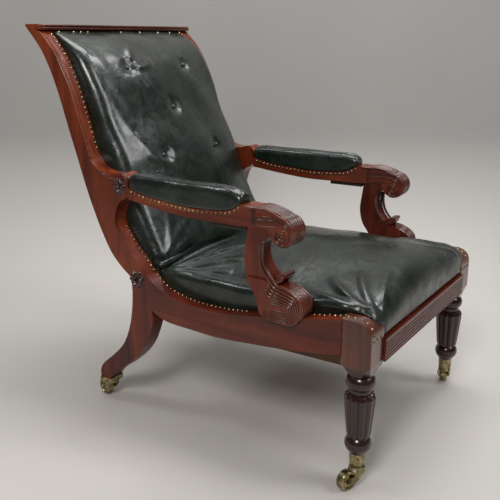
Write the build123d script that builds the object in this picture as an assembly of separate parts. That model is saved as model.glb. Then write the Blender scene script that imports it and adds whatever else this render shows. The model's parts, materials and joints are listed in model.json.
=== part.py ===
from build123d import *
import os
from math import atan2, cos, degrees, pi, radians, sin, tan

# A library armchair of about 1830: mahogany frame, raked padded back, padded
# scroll arms on carved supports, reeded front legs, sabre back legs, a leather
# footrest that slides out from under the seat, and brass casters.
# Millimetres. X is left to right, -Y is the front, Z is up, the floor is Z = 0
# and the origin is under the middle of the whole chair.

# Overall sizes
HEIGHT = 954.0
DEPTH = 960.0
REAR_WIDTH = 584.0
FRONT_WIDTH = 636.0
BACK_RAKE = 304.0

# Clearances and tool overrun
SOFT_GAP = 0.3
RUN_GAP = 0.05
SLIDE_GAP = 0.5
FIT_GAP = 0.1
OVERRUN = 5.0

# Casters
WHEEL_D = 44.0
WHEEL_W = 20.0
WHEEL_SIDE_GAP = 0.6
WHEEL_RECESS = 3.5
WHEEL_RIM = 5.0
WHEEL_EDGE_R = 4.0
WHEEL_SLOPE = 2.0
HUB_D = 15.0
TRAIL = 29.0
AXLE_D = 6.0
AXLE_HEAD_T = 1.5
AXLE_HEAD_D = 9.0
EYE_R = 7.5
HORN_T = 4.0
HORN_RISE = 0.8
PLATE_T = 3.4
PLATE_R = 16.0
STEM_D = 9.0
STEM_HEAD_D = 14.0
STEM_HEAD_T = 2.5
SWIVEL_GAP = 0.3
CUP_FLOOR = 6.0
CUP_WALL = 2.0
CUP_HEIGHT = 32.0
CUP_D = 35.0
CUP_BASE_D = 28.0
CUP_BASE_H = 6.0
REAR_CUP_HEIGHT = 15.0
REAR_CUP_CHAMFER = 3.0
# The way each caster trails, in degrees from +X towards +Y
CASTER_HEADINGS = {
    "front_left": 158.0,
    "front_right": 22.0,
    "rear_left": 75.0,
    "rear_right": 105.0,
}

# Front legs, from the cup up to the block
LEG_COLLAR_H = 5.5
LEG_COLLAR_D = 38.0
LOWER_RING_H = 33.0
LOWER_RING_D = 58.0
REED_H = 102.0
REED_TOP_D = 67.0
REED_COUNT = 10
LEG_NECK_H = 8.0
LEG_NECK_D = 47.0
UPPER_RING_H = 33.0
UPPER_RING_D = 64.0
OCTAGON_H = 26.0
OCTAGON_W = 52.0
BLOCK_H = 98.0
BLOCK_W = 72.0
BLOCK_D = 66.0
BLOCK_CHAMFER = 5.0
BLOCK_TOP_R = 35.0
REED_CUSP_SHARE = 0.88
# Height up the reeded part, then its width as a share of the widest place
REED_SHARES = ((0.0, 0.72), (0.06, 0.78), (0.45, 0.90), (0.80, 0.985),
               (0.90, 1.0), (0.97, 0.92), (1.0, 0.76))

# Rear legs
FOOT_D = 33.0
LEG_KICK = 117.0
STILE_TOP_D = 58.0
# Back share of the kick, then down share from the knee to the end of the foot
LEG_BACK_SHARES = ((0.0, 0.0), (-0.05, 0.078), (-0.051, 0.172), (-0.017, 0.294),
                   (0.043, 0.41), (0.128, 0.506), (0.282, 0.619), (0.47, 0.70),
                   (0.744, 0.794), (0.906, 0.85), (0.983, 0.895))
LEG_FRONT_SHARES = ((-0.56, 0.256), (-0.581, 0.35), (-0.538, 0.41), (-0.46, 0.488),
                    (-0.342, 0.581), (-0.171, 0.669), (0.068, 0.759), (0.299, 0.831),
                    (0.573, 0.909))
LEG_FRONT_TOP_SHARE = 0.206
FOOT_STAND = 1.0

# Seat frame
RAIL_T = 36.0
RAIL_RECESS = 4.0
RAIL_STEP = 4.0
RAIL_DROP = 121.0
KNEE_DROP = 22.5
FRONT_RAIL_T = 30.0
FRONT_RAIL_H = 24.0
FRONT_RAIL_SET = 22.0
REAR_RAIL_T = 22.0
REAR_RAIL_TOP = 10.0
REAR_RAIL_SET = 12.0
# Along the rail from the rear leg, then up from its lowest place
RAIL_TOP_SHARES = ((0.0, 0.924), (0.045, 0.755), (0.125, 0.61), (0.22, 0.535),
                   (0.305, 0.517), (0.39, 0.53), (0.53, 0.60), (0.70, 0.735),
                   (0.85, 0.865), (1.0, 1.0))
RAIL_BOTTOM_SHARES = ((1.0, 0.34), (0.82, 0.203), (0.713, 0.136), (0.60, 0.085),
                      (0.485, 0.034), (0.363, 0.0), (0.25, 0.008), (0.146, 0.017),
                      (0.095, 0.042), (0.045, 0.12), (0.0, 0.23))

# Back frame
STILE_T = 42.0
STILE_DEPTH = 40.0
CREST_H = 12.5
CREST_LIP = 2.0
CREST_WEB_H = 52.0
CREST_BEVEL = 3.0
LOWER_BACK_RAIL_H = 55.0
BACK_BOARD_T = 22.0
STUFFING_GAP = 0.8
LOWER_BACK_RAIL_Z_SHARE = 0.10
PANEL_INSET = 4.0
PANEL_T = 2.0
# Back share of the rake, then up share from the knee to the crest
STILE_BACK_SHARES = ((0.0, 0.0), (0.104, 0.041), (0.188, 0.088), (0.262, 0.153),
                     (0.315, 0.209), (0.398, 0.311), (0.4445, 0.376), (0.523, 0.498),
                     (0.5925, 0.602), (0.645, 0.687), (0.70, 0.765), (0.75, 0.823),
                     (0.804, 0.876), (0.873, 0.925), (0.921, 0.952), (0.964, 0.9745),
                     (1.0, 1.0))
# Depth of the stile at each of the points that its straight front copies
STILE_DEPTH_SHARES = (1.0, 1.0, 1.0, 0.995, 0.95, 0.91, 0.835, 0.80, 0.775, 0.775)
STILE_FRONT_SHARES = ((-0.109, 0.051), (-0.056, 0.082), (0.007, 0.117),
                      (0.059, 0.151), (0.112, 0.189))
STILE_FOOT_SHARE = 0.86
# The first of the back points that the straight front of the stile copies
STILE_FRONT_SKIP_COUNT = 7

# Shoulders, where the arms meet the back
NOSE_FORWARD = 7.0
NOSE_RISE = 18.0
NOSE_H = 60.0
NOSE_R = 9.0
SCOTIA_REACH = 48.0
SCOTIA_H = 61.0
SHOULDER_REACH = 107.0
SHOULDER_RISE = 90.0
# Back share of the reach, then up share
SCOTIA_SHARES = ((1.0, 0.0), (0.94, 0.245), (0.85, 0.49), (0.62, 0.80), (0.35, 0.95))
SADDLE_SHARES = ((0.28, 0.835), (0.50, 0.80), (0.73, 0.83), (0.87, 0.89), (1.0, 1.0))

# Arms
ARM_RISE_SHARE = 0.29382
ARM_W = 44.0
ARM_PROUD = 4.0
ARM_END_T = 46.0
ARM_REACH_SHARE = 0.80589
SCROLL_R = 31.0
SCROLL_RISE = 4.0
SCROLL_END_ANGLE = -20.0
# Forward share of the reach, then up share of the thickness at the scroll
ARM_BOTTOM_SHARES = ((0.0, 0.40), (0.129, 0.24), (0.275, 0.087), (0.415, 0.0),
                     (0.594, 0.02), (0.746, 0.065), (0.81, 0.13), (0.858, 0.15))
ARM_TOP_SHARES = ((0.9376, 0.783), (0.877, 0.98), (0.817, 1.06), (0.766, 1.04),
                  (0.714, 1.06), (0.688, 0.913), (0.6365, 0.674), (0.55, 0.565),
                  (0.415, 0.50), (0.277, 0.587), (0.15, 0.696), (0.082, 0.80),
                  (0.0, 1.0))
PAD_H = 56.0
PAD_SIDE_R = 17.0
PAD_BULGE = 1.5
# Forward share of the reach, then shares of the pad's height and of its width
PAD_SHARES = ((0.010, 0.92, 0.94), (0.045, 0.985, 0.99), (0.10, 1.0, 1.0),
              (0.18, 1.0, 1.0), (0.26, 1.0, 1.0), (0.34, 1.0, 1.0), (0.42, 1.0, 1.0),
              (0.50, 1.0, 1.0), (0.575, 0.995, 1.0), (0.635, 0.97, 0.985),
              (0.678, 0.91, 0.945), (0.708, 0.76, 0.85))
PLATE_LENGTH = 92.0
PLATE_THICKNESS = 9.0
PLATE_WIDTH = 30.0

# Arm supports
SUPPORT_INSET = 2.0
SUPPORT_FOOT_PROUD = 6.0
SUPPORT_FOOT_DROP = 43.0
SUPPORT_TENON = 10.0
SUPPORT_BACK_SHARE = 0.733
SUPPORT_SPAN = 148.0
SUPPORT_STEP_SHARE = 0.44
# Forward share of the span, then up share from the foot to the arm
SUPPORT_BACK_SHARES = ((0.061, 1.0), (0.034, 0.833), (0.013, 0.724), (0.0, 0.616),
                       (0.02, 0.507), (0.068, 0.404), (0.155, 0.315), (0.223, 0.227),
                       (0.264, 0.113), (0.30, 0.054))
SUPPORT_FOOT_SHARES = ((0.30, 0.054), (0.39, 0.025), (0.554, 0.005), (0.716, 0.0),
                       (0.878, 0.02), (0.966, 0.098), (1.0, 0.222), (0.966, 0.30),
                       (0.865, 0.36), (0.709, 0.404), (0.547, 0.424))
SUPPORT_LEAF_SHARES = ((0.547, 0.424), (0.61, 0.448), (0.689, 0.49), (0.703, 0.525),
                       (0.635, 0.532), (0.534, 0.50), (0.46, 0.468))
SUPPORT_FRONT_SHARES = ((0.46, 0.468), (0.405, 0.522), (0.338, 0.581), (0.297, 0.67),
                        (0.29, 0.754), (0.318, 0.823), (0.399, 0.882), (0.50, 0.936))

# Footrest
FOOTREST_TRAVEL_SHARE = 0.6273764
FOOTREST_PROUD = 6.0
FOOTREST_FRONT_H = 50.0
FOOTREST_FRONT_T = 22.0
FOOTREST_LAP = 6.0
FOOTREST_GAP = 10.0
FOOTREST_SIDE_GAP = 1.0
FOOTREST_REED_D = 6.0
FOOTREST_REEDS = 5
RUNNER_T = 20.0
RUNNER_H = 35.0
RUNNER_HOLD_SHARE = 0.3422053
RUNNER_PASS = 2.8
GUIDE_BOARD_T = 12.0
GUIDE_DROP = 14.0
GUIDE_LEDGE_T = 8.0
GUIDE_LEDGE_W = 14.0
GUIDE_TOP_H = 16.0
BOARD_T = 12.0
BOARD_RISE = 4.0
BOARD_DEPTH = 300.0
PAD_REST_H = 34.0
PAD_REST_CROWN = 7.0
PAD_REST_EDGE = 12.0
CORNER_BLOCK = 36.0

# Upholstery
WEB_T = 2.0
WEB_W = 50.0
WEB_GAP = 22.0
SPRING_D = 70.0
SPRING_WIRE = 3.4
SPRING_TURNS = 4
SPRING_H = 40.0
SPRING_PITCH = 130.0
SPRING_COUNT = 3
SPRING_Y_SHARE = 0.47
HESSIAN_T = 1.5
POCKET_MARGIN = 12.0
# Seat stations: back share of the run from the front face to the rear rail, then
# crown above the block top, edge above it, and width inside the frame
SEAT_CROWN = 70.0
SEAT_STATIONS = ((0.0, -0.114, -0.366, 0.975), (0.012, 0.262, -0.075, 0.99),
                 (0.035, 0.534, 0.137, 1.0), (0.075, 0.745, 0.216, 1.0),
                 (0.13, 0.868, 0.239, 1.0), (0.2, 0.939, 0.231, 1.0),
                 (0.28, 0.978, 0.200, 1.0), (0.37, 1.000, 0.153, 1.0),
                 (0.47, 1.000, 0.098, 1.0), (0.57, 0.974, 0.059, 1.0),
                 (0.67, 0.912, 0.043, 1.0), (0.76, 0.789, 0.035, 1.0),
                 (0.84, 0.613, 0.019, 1.0), (0.9, 0.420, -0.012, 1.0),
                 (0.95, 0.157, -0.083, 0.99), (1.0, -0.161, -0.224, 0.975))
SEAT_EDGE_R = 30.0
SEAT_EDGE_H_SHARE = 0.45
SEAT_BLOCK_W = 286.0
SEAT_OVERHANG = 1.0
APRON_GAP = 2.0
BACK_SEAT_D = 8.0
BACK_PROUD = 100.0
BACK_EDGE_PROUD = 22.0
BACK_EDGE_R = 34.0
# Up share from the knee to the crest, then share of the proud height
BACK_STATIONS = ((0.026, 0.05), (0.045, 0.28), (0.07, 0.47), (0.105, 0.66),
                 (0.15, 0.78), (0.21, 0.86), (0.285, 0.92), (0.37, 0.97),
                 (0.463, 0.98), (0.555, 0.84), (0.649, 0.70), (0.742, 0.645),
                 (0.827, 0.615), (0.885, 0.55), (0.925, 0.44), (0.955, 0.26),
                 (0.975, 0.05))
# The five tufts: across as a share of half the back, then the station they lie on
TUFTS = ((-0.46, 12), (0.46, 12), (0.0, 10), (-0.46, 8), (0.46, 8))
# The stations between which the back is webbed
WEB_STATIONS = (4, 14)
TUFT_R = 60.0
TUFT_DEPTH = 6.0
BUTTON_D = 12.5
BUTTON_H = 4.5

# Nails and screws
NAIL_D = 7.0
NAIL_H = 2.4
NAIL_PITCH = 12.5
NAIL_INSET = 5.8
NAIL_LIFT = 0.3
BLOCK_NAIL_INSET = 18.0
BLOCK_NAILS = 3
ROSETTE_D = 46.0
ROSETTE_T = 4.0
ROSETTE_FORWARD = 23.0
ROSETTE_DROP = 5.0
ROSETTE_BOSS_D = 17.0
ROSETTE_BOSS_T = 5.0
PETAL_COUNT = 8
PETAL_D = 13.0
PETAL_T = 3.0
LEAF_T = 3.0
LEAF_LENGTH = 42.0
LEAF_H = 38.0

# Levels worked out from the sizes above
CUP_BOTTOM = WHEEL_D + HORN_RISE + PLATE_T + SWIVEL_GAP
SPIGOT_Z = CUP_BOTTOM + CUP_FLOOR + STEM_HEAD_T + 2 * SWIVEL_GAP
COLLAR_Z = CUP_BOTTOM + CUP_HEIGHT
LOWER_RING_Z = COLLAR_Z + LEG_COLLAR_H
REED_Z = LOWER_RING_Z + LOWER_RING_H
LEG_NECK_Z = REED_Z + REED_H
UPPER_RING_Z = LEG_NECK_Z + LEG_NECK_H
OCTAGON_Z = UPPER_RING_Z + UPPER_RING_H
BLOCK_Z = OCTAGON_Z + OCTAGON_H
BLOCK_TOP = BLOCK_Z + BLOCK_H
RAIL_FRONT_TOP = BLOCK_TOP - RAIL_STEP
RAIL_LOW = BLOCK_TOP - RAIL_DROP
RAIL_RISE = RAIL_FRONT_TOP - RAIL_LOW
KNEE_Z = BLOCK_TOP - KNEE_DROP
CREST_Z = HEIGHT - CREST_H
BACK_RISE = HEIGHT - KNEE_Z
ARM_Z = KNEE_Z + ARM_RISE_SHARE * BACK_RISE

# Places from front to back
BLOCK_FRONT = -DEPTH / 2 + FOOTREST_PROUD
BLOCK_BACK = BLOCK_FRONT + BLOCK_D
LEG_Y = BLOCK_FRONT + BLOCK_D / 2
LEG_X = FRONT_WIDTH / 2 - BLOCK_W / 2
BLOCK_INNER = FRONT_WIDTH / 2 - BLOCK_W
KNEE_Y = DEPTH / 2 - BACK_RAKE
RAIL_BACK = KNEE_Y - STILE_TOP_D
RAIL_RUN = RAIL_BACK - BLOCK_BACK
STILE_X = REAR_WIDTH / 2
STILE_INNER = STILE_X - STILE_T
FOOT_BACK = KNEE_Y + LEG_KICK
FOOT_Y = FOOT_BACK - FOOT_D / 2
FOOT_X = STILE_X - STILE_T / 2
NOSE_Y = KNEE_Y - NOSE_FORWARD
ARM_REACH = ARM_REACH_SHARE * (NOSE_Y - BLOCK_BACK)
SPLAY = atan2(FRONT_WIDTH / 2 - RAIL_RECESS - STILE_X, RAIL_RUN)
RAIL_REAR_TOP = RAIL_LOW + RAIL_TOP_SHARES[0][1] * RAIL_RISE
GUIDE_BOTTOM = RAIL_LOW - GUIDE_DROP
RUNNER_Z = GUIDE_BOTTOM + GUIDE_LEDGE_T + SLIDE_GAP
GUIDE_TOP = RUNNER_Z + RUNNER_H + SLIDE_GAP + GUIDE_LEDGE_T + GUIDE_TOP_H
WEB_TOP = GUIDE_TOP + WEB_T
FOOTREST_TOP = WEB_TOP + FRONT_RAIL_H - FOOTREST_GAP
FRONT_RAIL_Y = BLOCK_FRONT + FRONT_RAIL_SET
REAR_RAIL_Y = RAIL_BACK + REAR_RAIL_SET
RAIL_INNER = min(STILE_X - RAIL_T, STILE_INNER) - SOFT_GAP
RUNNER_X = min(BLOCK_INNER - RUNNER_PASS, RAIL_INNER - GUIDE_BOARD_T - SLIDE_GAP)
GUIDE_X = RUNNER_X + SLIDE_GAP + GUIDE_BOARD_T
RUNNER_LENGTH = (FOOTREST_TRAVEL_SHARE + RUNNER_HOLD_SHARE) * RAIL_RUN
SUPPORT_THICK = ARM_PROUD + SUPPORT_FOOT_PROUD + RAIL_T - SUPPORT_INSET
SPRING_Y = BLOCK_FRONT + SPRING_Y_SHARE * (REAR_RAIL_Y - BLOCK_FRONT)


# Helpers for outlines in the side view, with the chair's depth as x and height as y

def places(shares, origin, spans):
    """Points at the given shares of two spans from an origin."""
    return [(origin[0] + a * spans[0], origin[1] + b * spans[1]) for a, b in shares]


def outline_face(*runs):
    """A face bounded by runs of points: two points a line, more points a curve."""
    edges = [Line(*run) if len(run) == 2 else Spline(*run) for run in runs]
    return make_face(Curve() + edges)


def plate(face, x_start, thickness):
    """A side-view face thickened along X from x_start towards +X."""
    return extrude(Plane.YZ.offset(x_start) * face, thickness)


def splayed(shape):
    """The left side's straight work, turned out to the wider front."""
    pivot = Location((-STILE_X, RAIL_BACK, 0))
    return pivot * Rot(0, 0, -degrees(SPLAY)) * pivot.inverse() * shape


def side_x(y):
    """Half the width outside the side rails at a place from front to back."""
    return STILE_X + (RAIL_BACK - y) * tan(SPLAY)


def right_hand(shape):
    """The right piece as the mirror image of the left one."""
    return mirror(shape, about=Plane.YZ)


def slab(x0, x1, y0, y1, z0, z1):
    """A box between two corners."""
    size = Box(x1 - x0, y1 - y0, z1 - z0, align=(Align.MIN, Align.MIN, Align.MIN))
    return Pos(x0, y0, z0) * size


def at_height(edge, z):
    """The depth at which a side-view edge that only rises reaches a height."""
    low, high = (0.0, 1.0) if (edge @ 0).Y < (edge @ 1).Y else (1.0, 0.0)
    for _ in range(40):
        middle = (low + high) / 2
        if (edge @ middle).Y < z:
            low = middle
        else:
            high = middle
    return (edge @ low).X


def turned(points):
    """A turned solid about Z from a half outline of radius and height."""
    closed = [(0, points[0][1])] + points + [(0, points[-1][1])]
    return revolve(Plane.XZ * make_face(Polyline(*closed, close=True)), Axis.Z)


def ring(z, height, inner_d, outer_d):
    """A turned half-round ring."""
    low, high = (inner_d / 2, z), (inner_d / 2, z + height)
    bulge = ThreePointArc(low, (outer_d / 2, z + height / 2), high)
    back = Polyline(high, (0, z + height), (0, z), low)
    return revolve(Plane.XZ * make_face(Curve() + [bulge, back]), Axis.Z)


# Casters

def caster_wheel():
    """A brass wheel with a tread rounded at both edges, recessed faces and a bored hub."""
    r, half = WHEEL_D / 2, WHEEL_W / 2
    bore = AXLE_D / 2 + RUN_GAP
    recess = half - WHEEL_RECESS
    rim = r - WHEEL_RIM
    side = [(r - WHEEL_EDGE_R, half), (rim, half), (rim - WHEEL_SLOPE, recess),
            (HUB_D / 2, recess), (HUB_D / 2, half), (bore, half)]
    far = [(x, -y) for x, y in reversed(side)]
    bend = WHEEL_EDGE_R * (1 - sin(pi / 4))
    near = ThreePointArc(side[0], (r - bend, half - bend), (r, half - WHEEL_EDGE_R))
    away = ThreePointArc((r, WHEEL_EDGE_R - half), (r - bend, bend - half), far[-1])
    tread = Line((r, half - WHEEL_EDGE_R), (r, WHEEL_EDGE_R - half))
    profile = make_face(Curve() + [near, tread, away, Polyline(*(side + far))])
    return Pos(TRAIL, 0, r) * revolve(profile, Axis.Y)


def caster_axle():
    """The axle pin with a riveted head outside each arm."""
    span = WHEEL_W / 2 + WHEEL_SIDE_GAP + HORN_T
    pin = Cylinder(AXLE_D / 2, 2 * span)
    head = Cylinder(AXLE_HEAD_D / 2, AXLE_HEAD_T)
    offset = span + AXLE_HEAD_T / 2
    body = pin + Pos(0, 0, offset) * head + Pos(0, 0, -offset) * head
    return Pos(TRAIL, 0, WHEEL_D / 2) * Rot(90, 0, 0) * body


def caster_horn():
    """The swivelling horn: stem and its riveted head, plate and two curved arms."""
    wheel_r = WHEEL_D / 2
    plate_z = WHEEL_D + HORN_RISE
    floor_top = CUP_BOTTOM + CUP_FLOOR + SWIVEL_GAP
    heel = (-PLATE_R * 0.75, plate_z + PLATE_T / 2)
    toe = (PLATE_R * 0.55, plate_z + PLATE_T / 2)
    eye = (TRAIL, wheel_r)
    under = ThreePointArc(heel, (TRAIL * 0.12, wheel_r + EYE_R * 0.15), (eye[0], eye[1] - EYE_R))
    tip = ThreePointArc((eye[0], eye[1] - EYE_R), (eye[0] + EYE_R, eye[1]), (eye[0], eye[1] + EYE_R))
    over = ThreePointArc((eye[0], eye[1] + EYE_R), (TRAIL * 0.55, wheel_r + EYE_R * 1.5), toe)
    face = make_face(Curve() + [under, tip, over, Line(toe, heel)])
    inner = WHEEL_W / 2 + WHEEL_SIDE_GAP
    arm = extrude(Plane.XZ.offset(-inner - HORN_T) * face, HORN_T)
    arms = arm + mirror(arm, about=Plane.XZ)
    arms -= Pos(TRAIL, 0, wheel_r) * Rot(90, 0, 0) * Cylinder(AXLE_D / 2, WHEEL_W * 3)
    top = Pos(0, 0, plate_z) * Cylinder(PLATE_R, PLATE_T, align=(Align.CENTER, Align.CENTER, Align.MIN))
    stem_h = floor_top - plate_z
    stem = Pos(0, 0, plate_z) * Cylinder(STEM_D / 2, stem_h, align=(Align.CENTER, Align.CENTER, Align.MIN))
    head = Pos(0, 0, floor_top) * Cylinder(
        STEM_HEAD_D / 2, STEM_HEAD_T, align=(Align.CENTER, Align.CENTER, Align.MIN))
    return arms + top + stem + head


def round_cup():
    """The front leg's cup: a tapered brass socket with a bored floor."""
    outer = [(CUP_BASE_D / 2, CUP_BOTTOM), (CUP_D / 2 - CUP_WALL / 2, CUP_BOTTOM + CUP_BASE_H),
             (CUP_D / 2, COLLAR_Z)]
    body = turned(outer)
    bore_h = CUP_HEIGHT - CUP_FLOOR + OVERRUN
    bore = Cylinder(CUP_D / 2 - CUP_WALL, bore_h, align=(Align.CENTER, Align.CENTER, Align.MIN))
    hole = Cylinder(STEM_D / 2 + RUN_GAP, CUP_HEIGHT)
    return body - Pos(0, 0, CUP_BOTTOM + CUP_FLOOR) * bore - Pos(0, 0, CUP_BOTTOM) * hole


def square_cup():
    """The back leg's cup: a square brass shoe with a bored floor."""
    x, y = STILE_T / 2 + FIT_GAP, FOOT_D / 2 + FIT_GAP
    top = CUP_BOTTOM + REAR_CUP_HEIGHT
    body = slab(-x - CUP_WALL, x + CUP_WALL, -y - CUP_WALL, y + CUP_WALL, CUP_BOTTOM, top)
    body = chamfer(body.faces().sort_by(Axis.Z)[0].edges(), REAR_CUP_CHAMFER)
    body -= slab(-x, x, -y, y, CUP_BOTTOM + CUP_FLOOR, top + OVERRUN)
    return body - Pos(0, 0, CUP_BOTTOM) * Cylinder(STEM_D / 2 + RUN_GAP, CUP_HEIGHT)


def caster_places():
    """Where each caster's swivel stands on plan."""
    return {
        "front_left": (-LEG_X, LEG_Y),
        "front_right": (LEG_X, LEG_Y),
        "rear_left": (-FOOT_X, FOOT_Y),
        "rear_right": (FOOT_X, FOOT_Y),
    }


# Legs

def reed_section(z, diameter):
    """The closed outline of the reeds at one height, as outward arcs between cusps."""
    r, cusp = diameter / 2, diameter / 2 * REED_CUSP_SHARE
    step = 2 * pi / REED_COUNT
    arcs = []
    for i in range(REED_COUNT):
        a, m, b = (i - 0.5) * step, i * step, (i + 0.5) * step
        arcs.append(ThreePointArc((cusp * cos(a), cusp * sin(a)), (r * cos(m), r * sin(m)),
                                  (cusp * cos(b), cusp * sin(b))))
    return Pos(0, 0, z) * make_face(Curve() + arcs)


def octagon(z, x_half, y_half, cut):
    """A rectangle on plan with its corners cut off."""
    points = [(x_half, cut - y_half), (x_half, y_half - cut), (x_half - cut, y_half),
              (cut - x_half, y_half), (-x_half, y_half - cut), (-x_half, cut - y_half),
              (cut - x_half, -y_half), (x_half - cut, -y_half)]
    return Pos(0, 0, z) * make_face(Polyline(*points, close=True))


def block_side_face(grown=0.0):
    """The block's side outline, with its rounded top front corner, on the leg axis."""
    front, back, top = -BLOCK_D / 2 - grown, BLOCK_D / 2 + grown, BLOCK_TOP + grown
    radius = BLOCK_TOP_R + grown
    arc_start, arc_end = (front + radius, top), (front, top - radius)
    bow = RadiusArc(arc_end, arc_start, radius)
    rest = Polyline(arc_start, (back, top), (back, BLOCK_Z), (front, BLOCK_Z), arc_end)
    return make_face(Curve() + [bow, rest])


def front_leg():
    """A front leg turned from one post with its square block."""
    spigot_r = CUP_D / 2 - CUP_WALL - FIT_GAP
    foot = turned([(spigot_r, SPIGOT_Z), (spigot_r, COLLAR_Z), (LEG_COLLAR_D / 2, COLLAR_Z),
                   (LEG_NECK_D / 2 * 0.93, LOWER_RING_Z)])
    lower = ring(LOWER_RING_Z, LOWER_RING_H, LEG_NECK_D * 0.93, LOWER_RING_D)
    sections = [reed_section(REED_Z + up * REED_H, REED_TOP_D * wide) for up, wide in REED_SHARES]
    reeds = loft(sections, ruled=True)
    neck = Pos(0, 0, LEG_NECK_Z) * Cylinder(
        LEG_NECK_D / 2, LEG_NECK_H, align=(Align.CENTER, Align.CENTER, Align.MIN))
    upper = ring(UPPER_RING_Z, UPPER_RING_H, LEG_NECK_D, UPPER_RING_D)
    small = OCTAGON_W / 2
    low = octagon(OCTAGON_Z, small, small, small * (2 - 2 ** 0.5))
    high = octagon(BLOCK_Z, BLOCK_W / 2, BLOCK_D / 2, BLOCK_CHAMFER)
    flare = loft([low, high], ruled=True)
    post = extrude(high, BLOCK_H) & plate(block_side_face(), -BLOCK_W / 2, BLOCK_W)
    leg = foot + lower + reeds + neck + upper + flare + post
    return Pos(-LEG_X, LEG_Y, 0) * leg


def joint_line():
    """The sloping joint of back leg and stile, from the back to the front."""
    return (KNEE_Y, KNEE_Z), (RAIL_BACK, RAIL_REAR_TOP)


def rear_leg():
    """A sabre back leg from the knee joint to the end inside its cup."""
    spans = (LEG_KICK, SPIGOT_Z - KNEE_Z)
    back = places(LEG_BACK_SHARES, (KNEE_Y, KNEE_Z), spans)
    front = places(LEG_FRONT_SHARES, (KNEE_Y, KNEE_Z), spans)
    foot_z = CUP_BOTTOM + REAR_CUP_HEIGHT + FOOT_STAND
    front_top = (RAIL_BACK, KNEE_Z + LEG_FRONT_TOP_SHARE * spans[1])
    foot_top, back_top = (FOOT_BACK - FOOT_D, foot_z), (FOOT_BACK, foot_z)
    heel, toe = (FOOT_BACK, SPIGOT_Z), (FOOT_BACK - FOOT_D, SPIGOT_Z)
    knee, rail_end = joint_line()
    face = outline_face(back + [back_top], (back_top, heel), (heel, toe), (toe, foot_top),
                        [foot_top] + front[::-1] + [front_top], (front_top, rail_end),
                        (rail_end, knee))
    return plate(face, -STILE_X, STILE_T)


# Back frame

def stile_back_points():
    """Points up the rear edge of a stile."""
    return places(STILE_BACK_SHARES, (KNEE_Y, KNEE_Z), (BACK_RAKE, BACK_RISE))


def stile_top_front():
    """Points up the front edge of a stile above its shoulder."""
    back = stile_back_points()[STILE_FRONT_SKIP_COUNT:]
    return [(y - STILE_DEPTH * share, z) for (y, z), share in zip(back, STILE_DEPTH_SHARES)]


def stile_face():
    """The side outline of a stile with its shoulder."""
    back = stile_back_points()
    top_front = stile_top_front()
    knee, rail_end = joint_line()
    foot = (knee[0] + STILE_FOOT_SHARE * (rail_end[0] - knee[0]),
            knee[1] + STILE_FOOT_SHARE * (rail_end[1] - knee[1]))
    lower = places(STILE_FRONT_SHARES, (KNEE_Y, KNEE_Z), (BACK_RAKE, BACK_RISE))
    nose_low, nose_high = ARM_Z + NOSE_RISE, ARM_Z + NOSE_RISE + NOSE_H
    scotia = places(SCOTIA_SHARES, (NOSE_Y, nose_low - SCOTIA_H), (SCOTIA_REACH, SCOTIA_H))
    saddle = places(SADDLE_SHARES, (NOSE_Y, ARM_Z), (SHOULDER_REACH, SHOULDER_RISE))
    chin, brow = (NOSE_Y, nose_low + NOSE_R), (NOSE_Y, nose_high - NOSE_R)
    return outline_face(
        back, (back[-1], top_front[-1]), [top_front[i] for i in range(len(top_front) - 1, -1, -1)],
        [top_front[0]] + saddle[::-1] + [(NOSE_Y + NOSE_R, nose_high), brow],
        (brow, chin), [chin, (NOSE_Y + NOSE_R, nose_low)] + scotia[::-1],
        [scotia[0]] + lower[::-1] + [foot], (foot, knee))


def stile():
    """A raked stile, cut off under the crest moulding."""
    above = slab(-REAR_WIDTH, REAR_WIDTH, 0, DEPTH, CREST_Z, HEIGHT + OVERRUN)
    return plate(stile_face(), -STILE_X, STILE_T) - above


def crest_rail():
    """The moulded crest across both stiles, with the web between them."""
    back = Spline(*stile_back_points())
    y = at_height(back, CREST_Z)
    front = y - STILE_DEPTH - CREST_LIP
    rear = DEPTH / 2
    points = [(front, CREST_Z), (front, HEIGHT - CREST_BEVEL), (front + CREST_BEVEL, HEIGHT),
              (rear - CREST_BEVEL, HEIGHT), (rear, HEIGHT - CREST_BEVEL), (y, CREST_Z)]
    moulding = plate(make_face(Polyline(*points, close=True)), -STILE_X, REAR_WIDTH)
    return moulding + back_board(CREST_Z, CREST_WEB_H)


def back_board(top, height):
    """A board between the stiles, from the outside panel to the stuffing."""
    back, seat = Spline(*stile_back_points()), stile_front_edge()
    levels = [top, top - height / 2, top - height]
    rear = [(at_height(back, z) - PANEL_INSET - PANEL_T / 2, z) for z in levels]
    front = [(max(at_height(seat, z) + BACK_SEAT_D + STUFFING_GAP, y - BACK_BOARD_T), z)
             for y, z in rear]
    face = outline_face(rear, (rear[-1], front[-1]), front[::-1], (front[0], rear[0]))
    board = plate(face, -STILE_INNER, 2 * STILE_INNER)
    return board - Pos(0, -FIT_GAP, 0) * outside_back()


def lower_back_rail():
    """The rail across the foot of the back frame."""
    top = KNEE_Z + LOWER_BACK_RAIL_Z_SHARE * BACK_RISE + LOWER_BACK_RAIL_H
    return back_board(top, LOWER_BACK_RAIL_H)


def outside_back():
    """The leather panel that closes the back, between the stiles."""
    back = Spline(*stile_back_points())
    low = KNEE_Z + LOWER_BACK_RAIL_Z_SHARE * BACK_RISE
    levels = [z for _, z in stile_back_points() if low < z < CREST_Z]
    levels = [low] + levels + [CREST_Z]
    rear = [(at_height(back, z) - PANEL_INSET, z) for z in levels]
    front = [(y - PANEL_T, z) for y, z in rear]
    face = outline_face(rear, (rear[-1], front[-1]), front[::-1], (front[0], rear[0]))
    return plate(face, -STILE_INNER, 2 * STILE_INNER)


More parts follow.
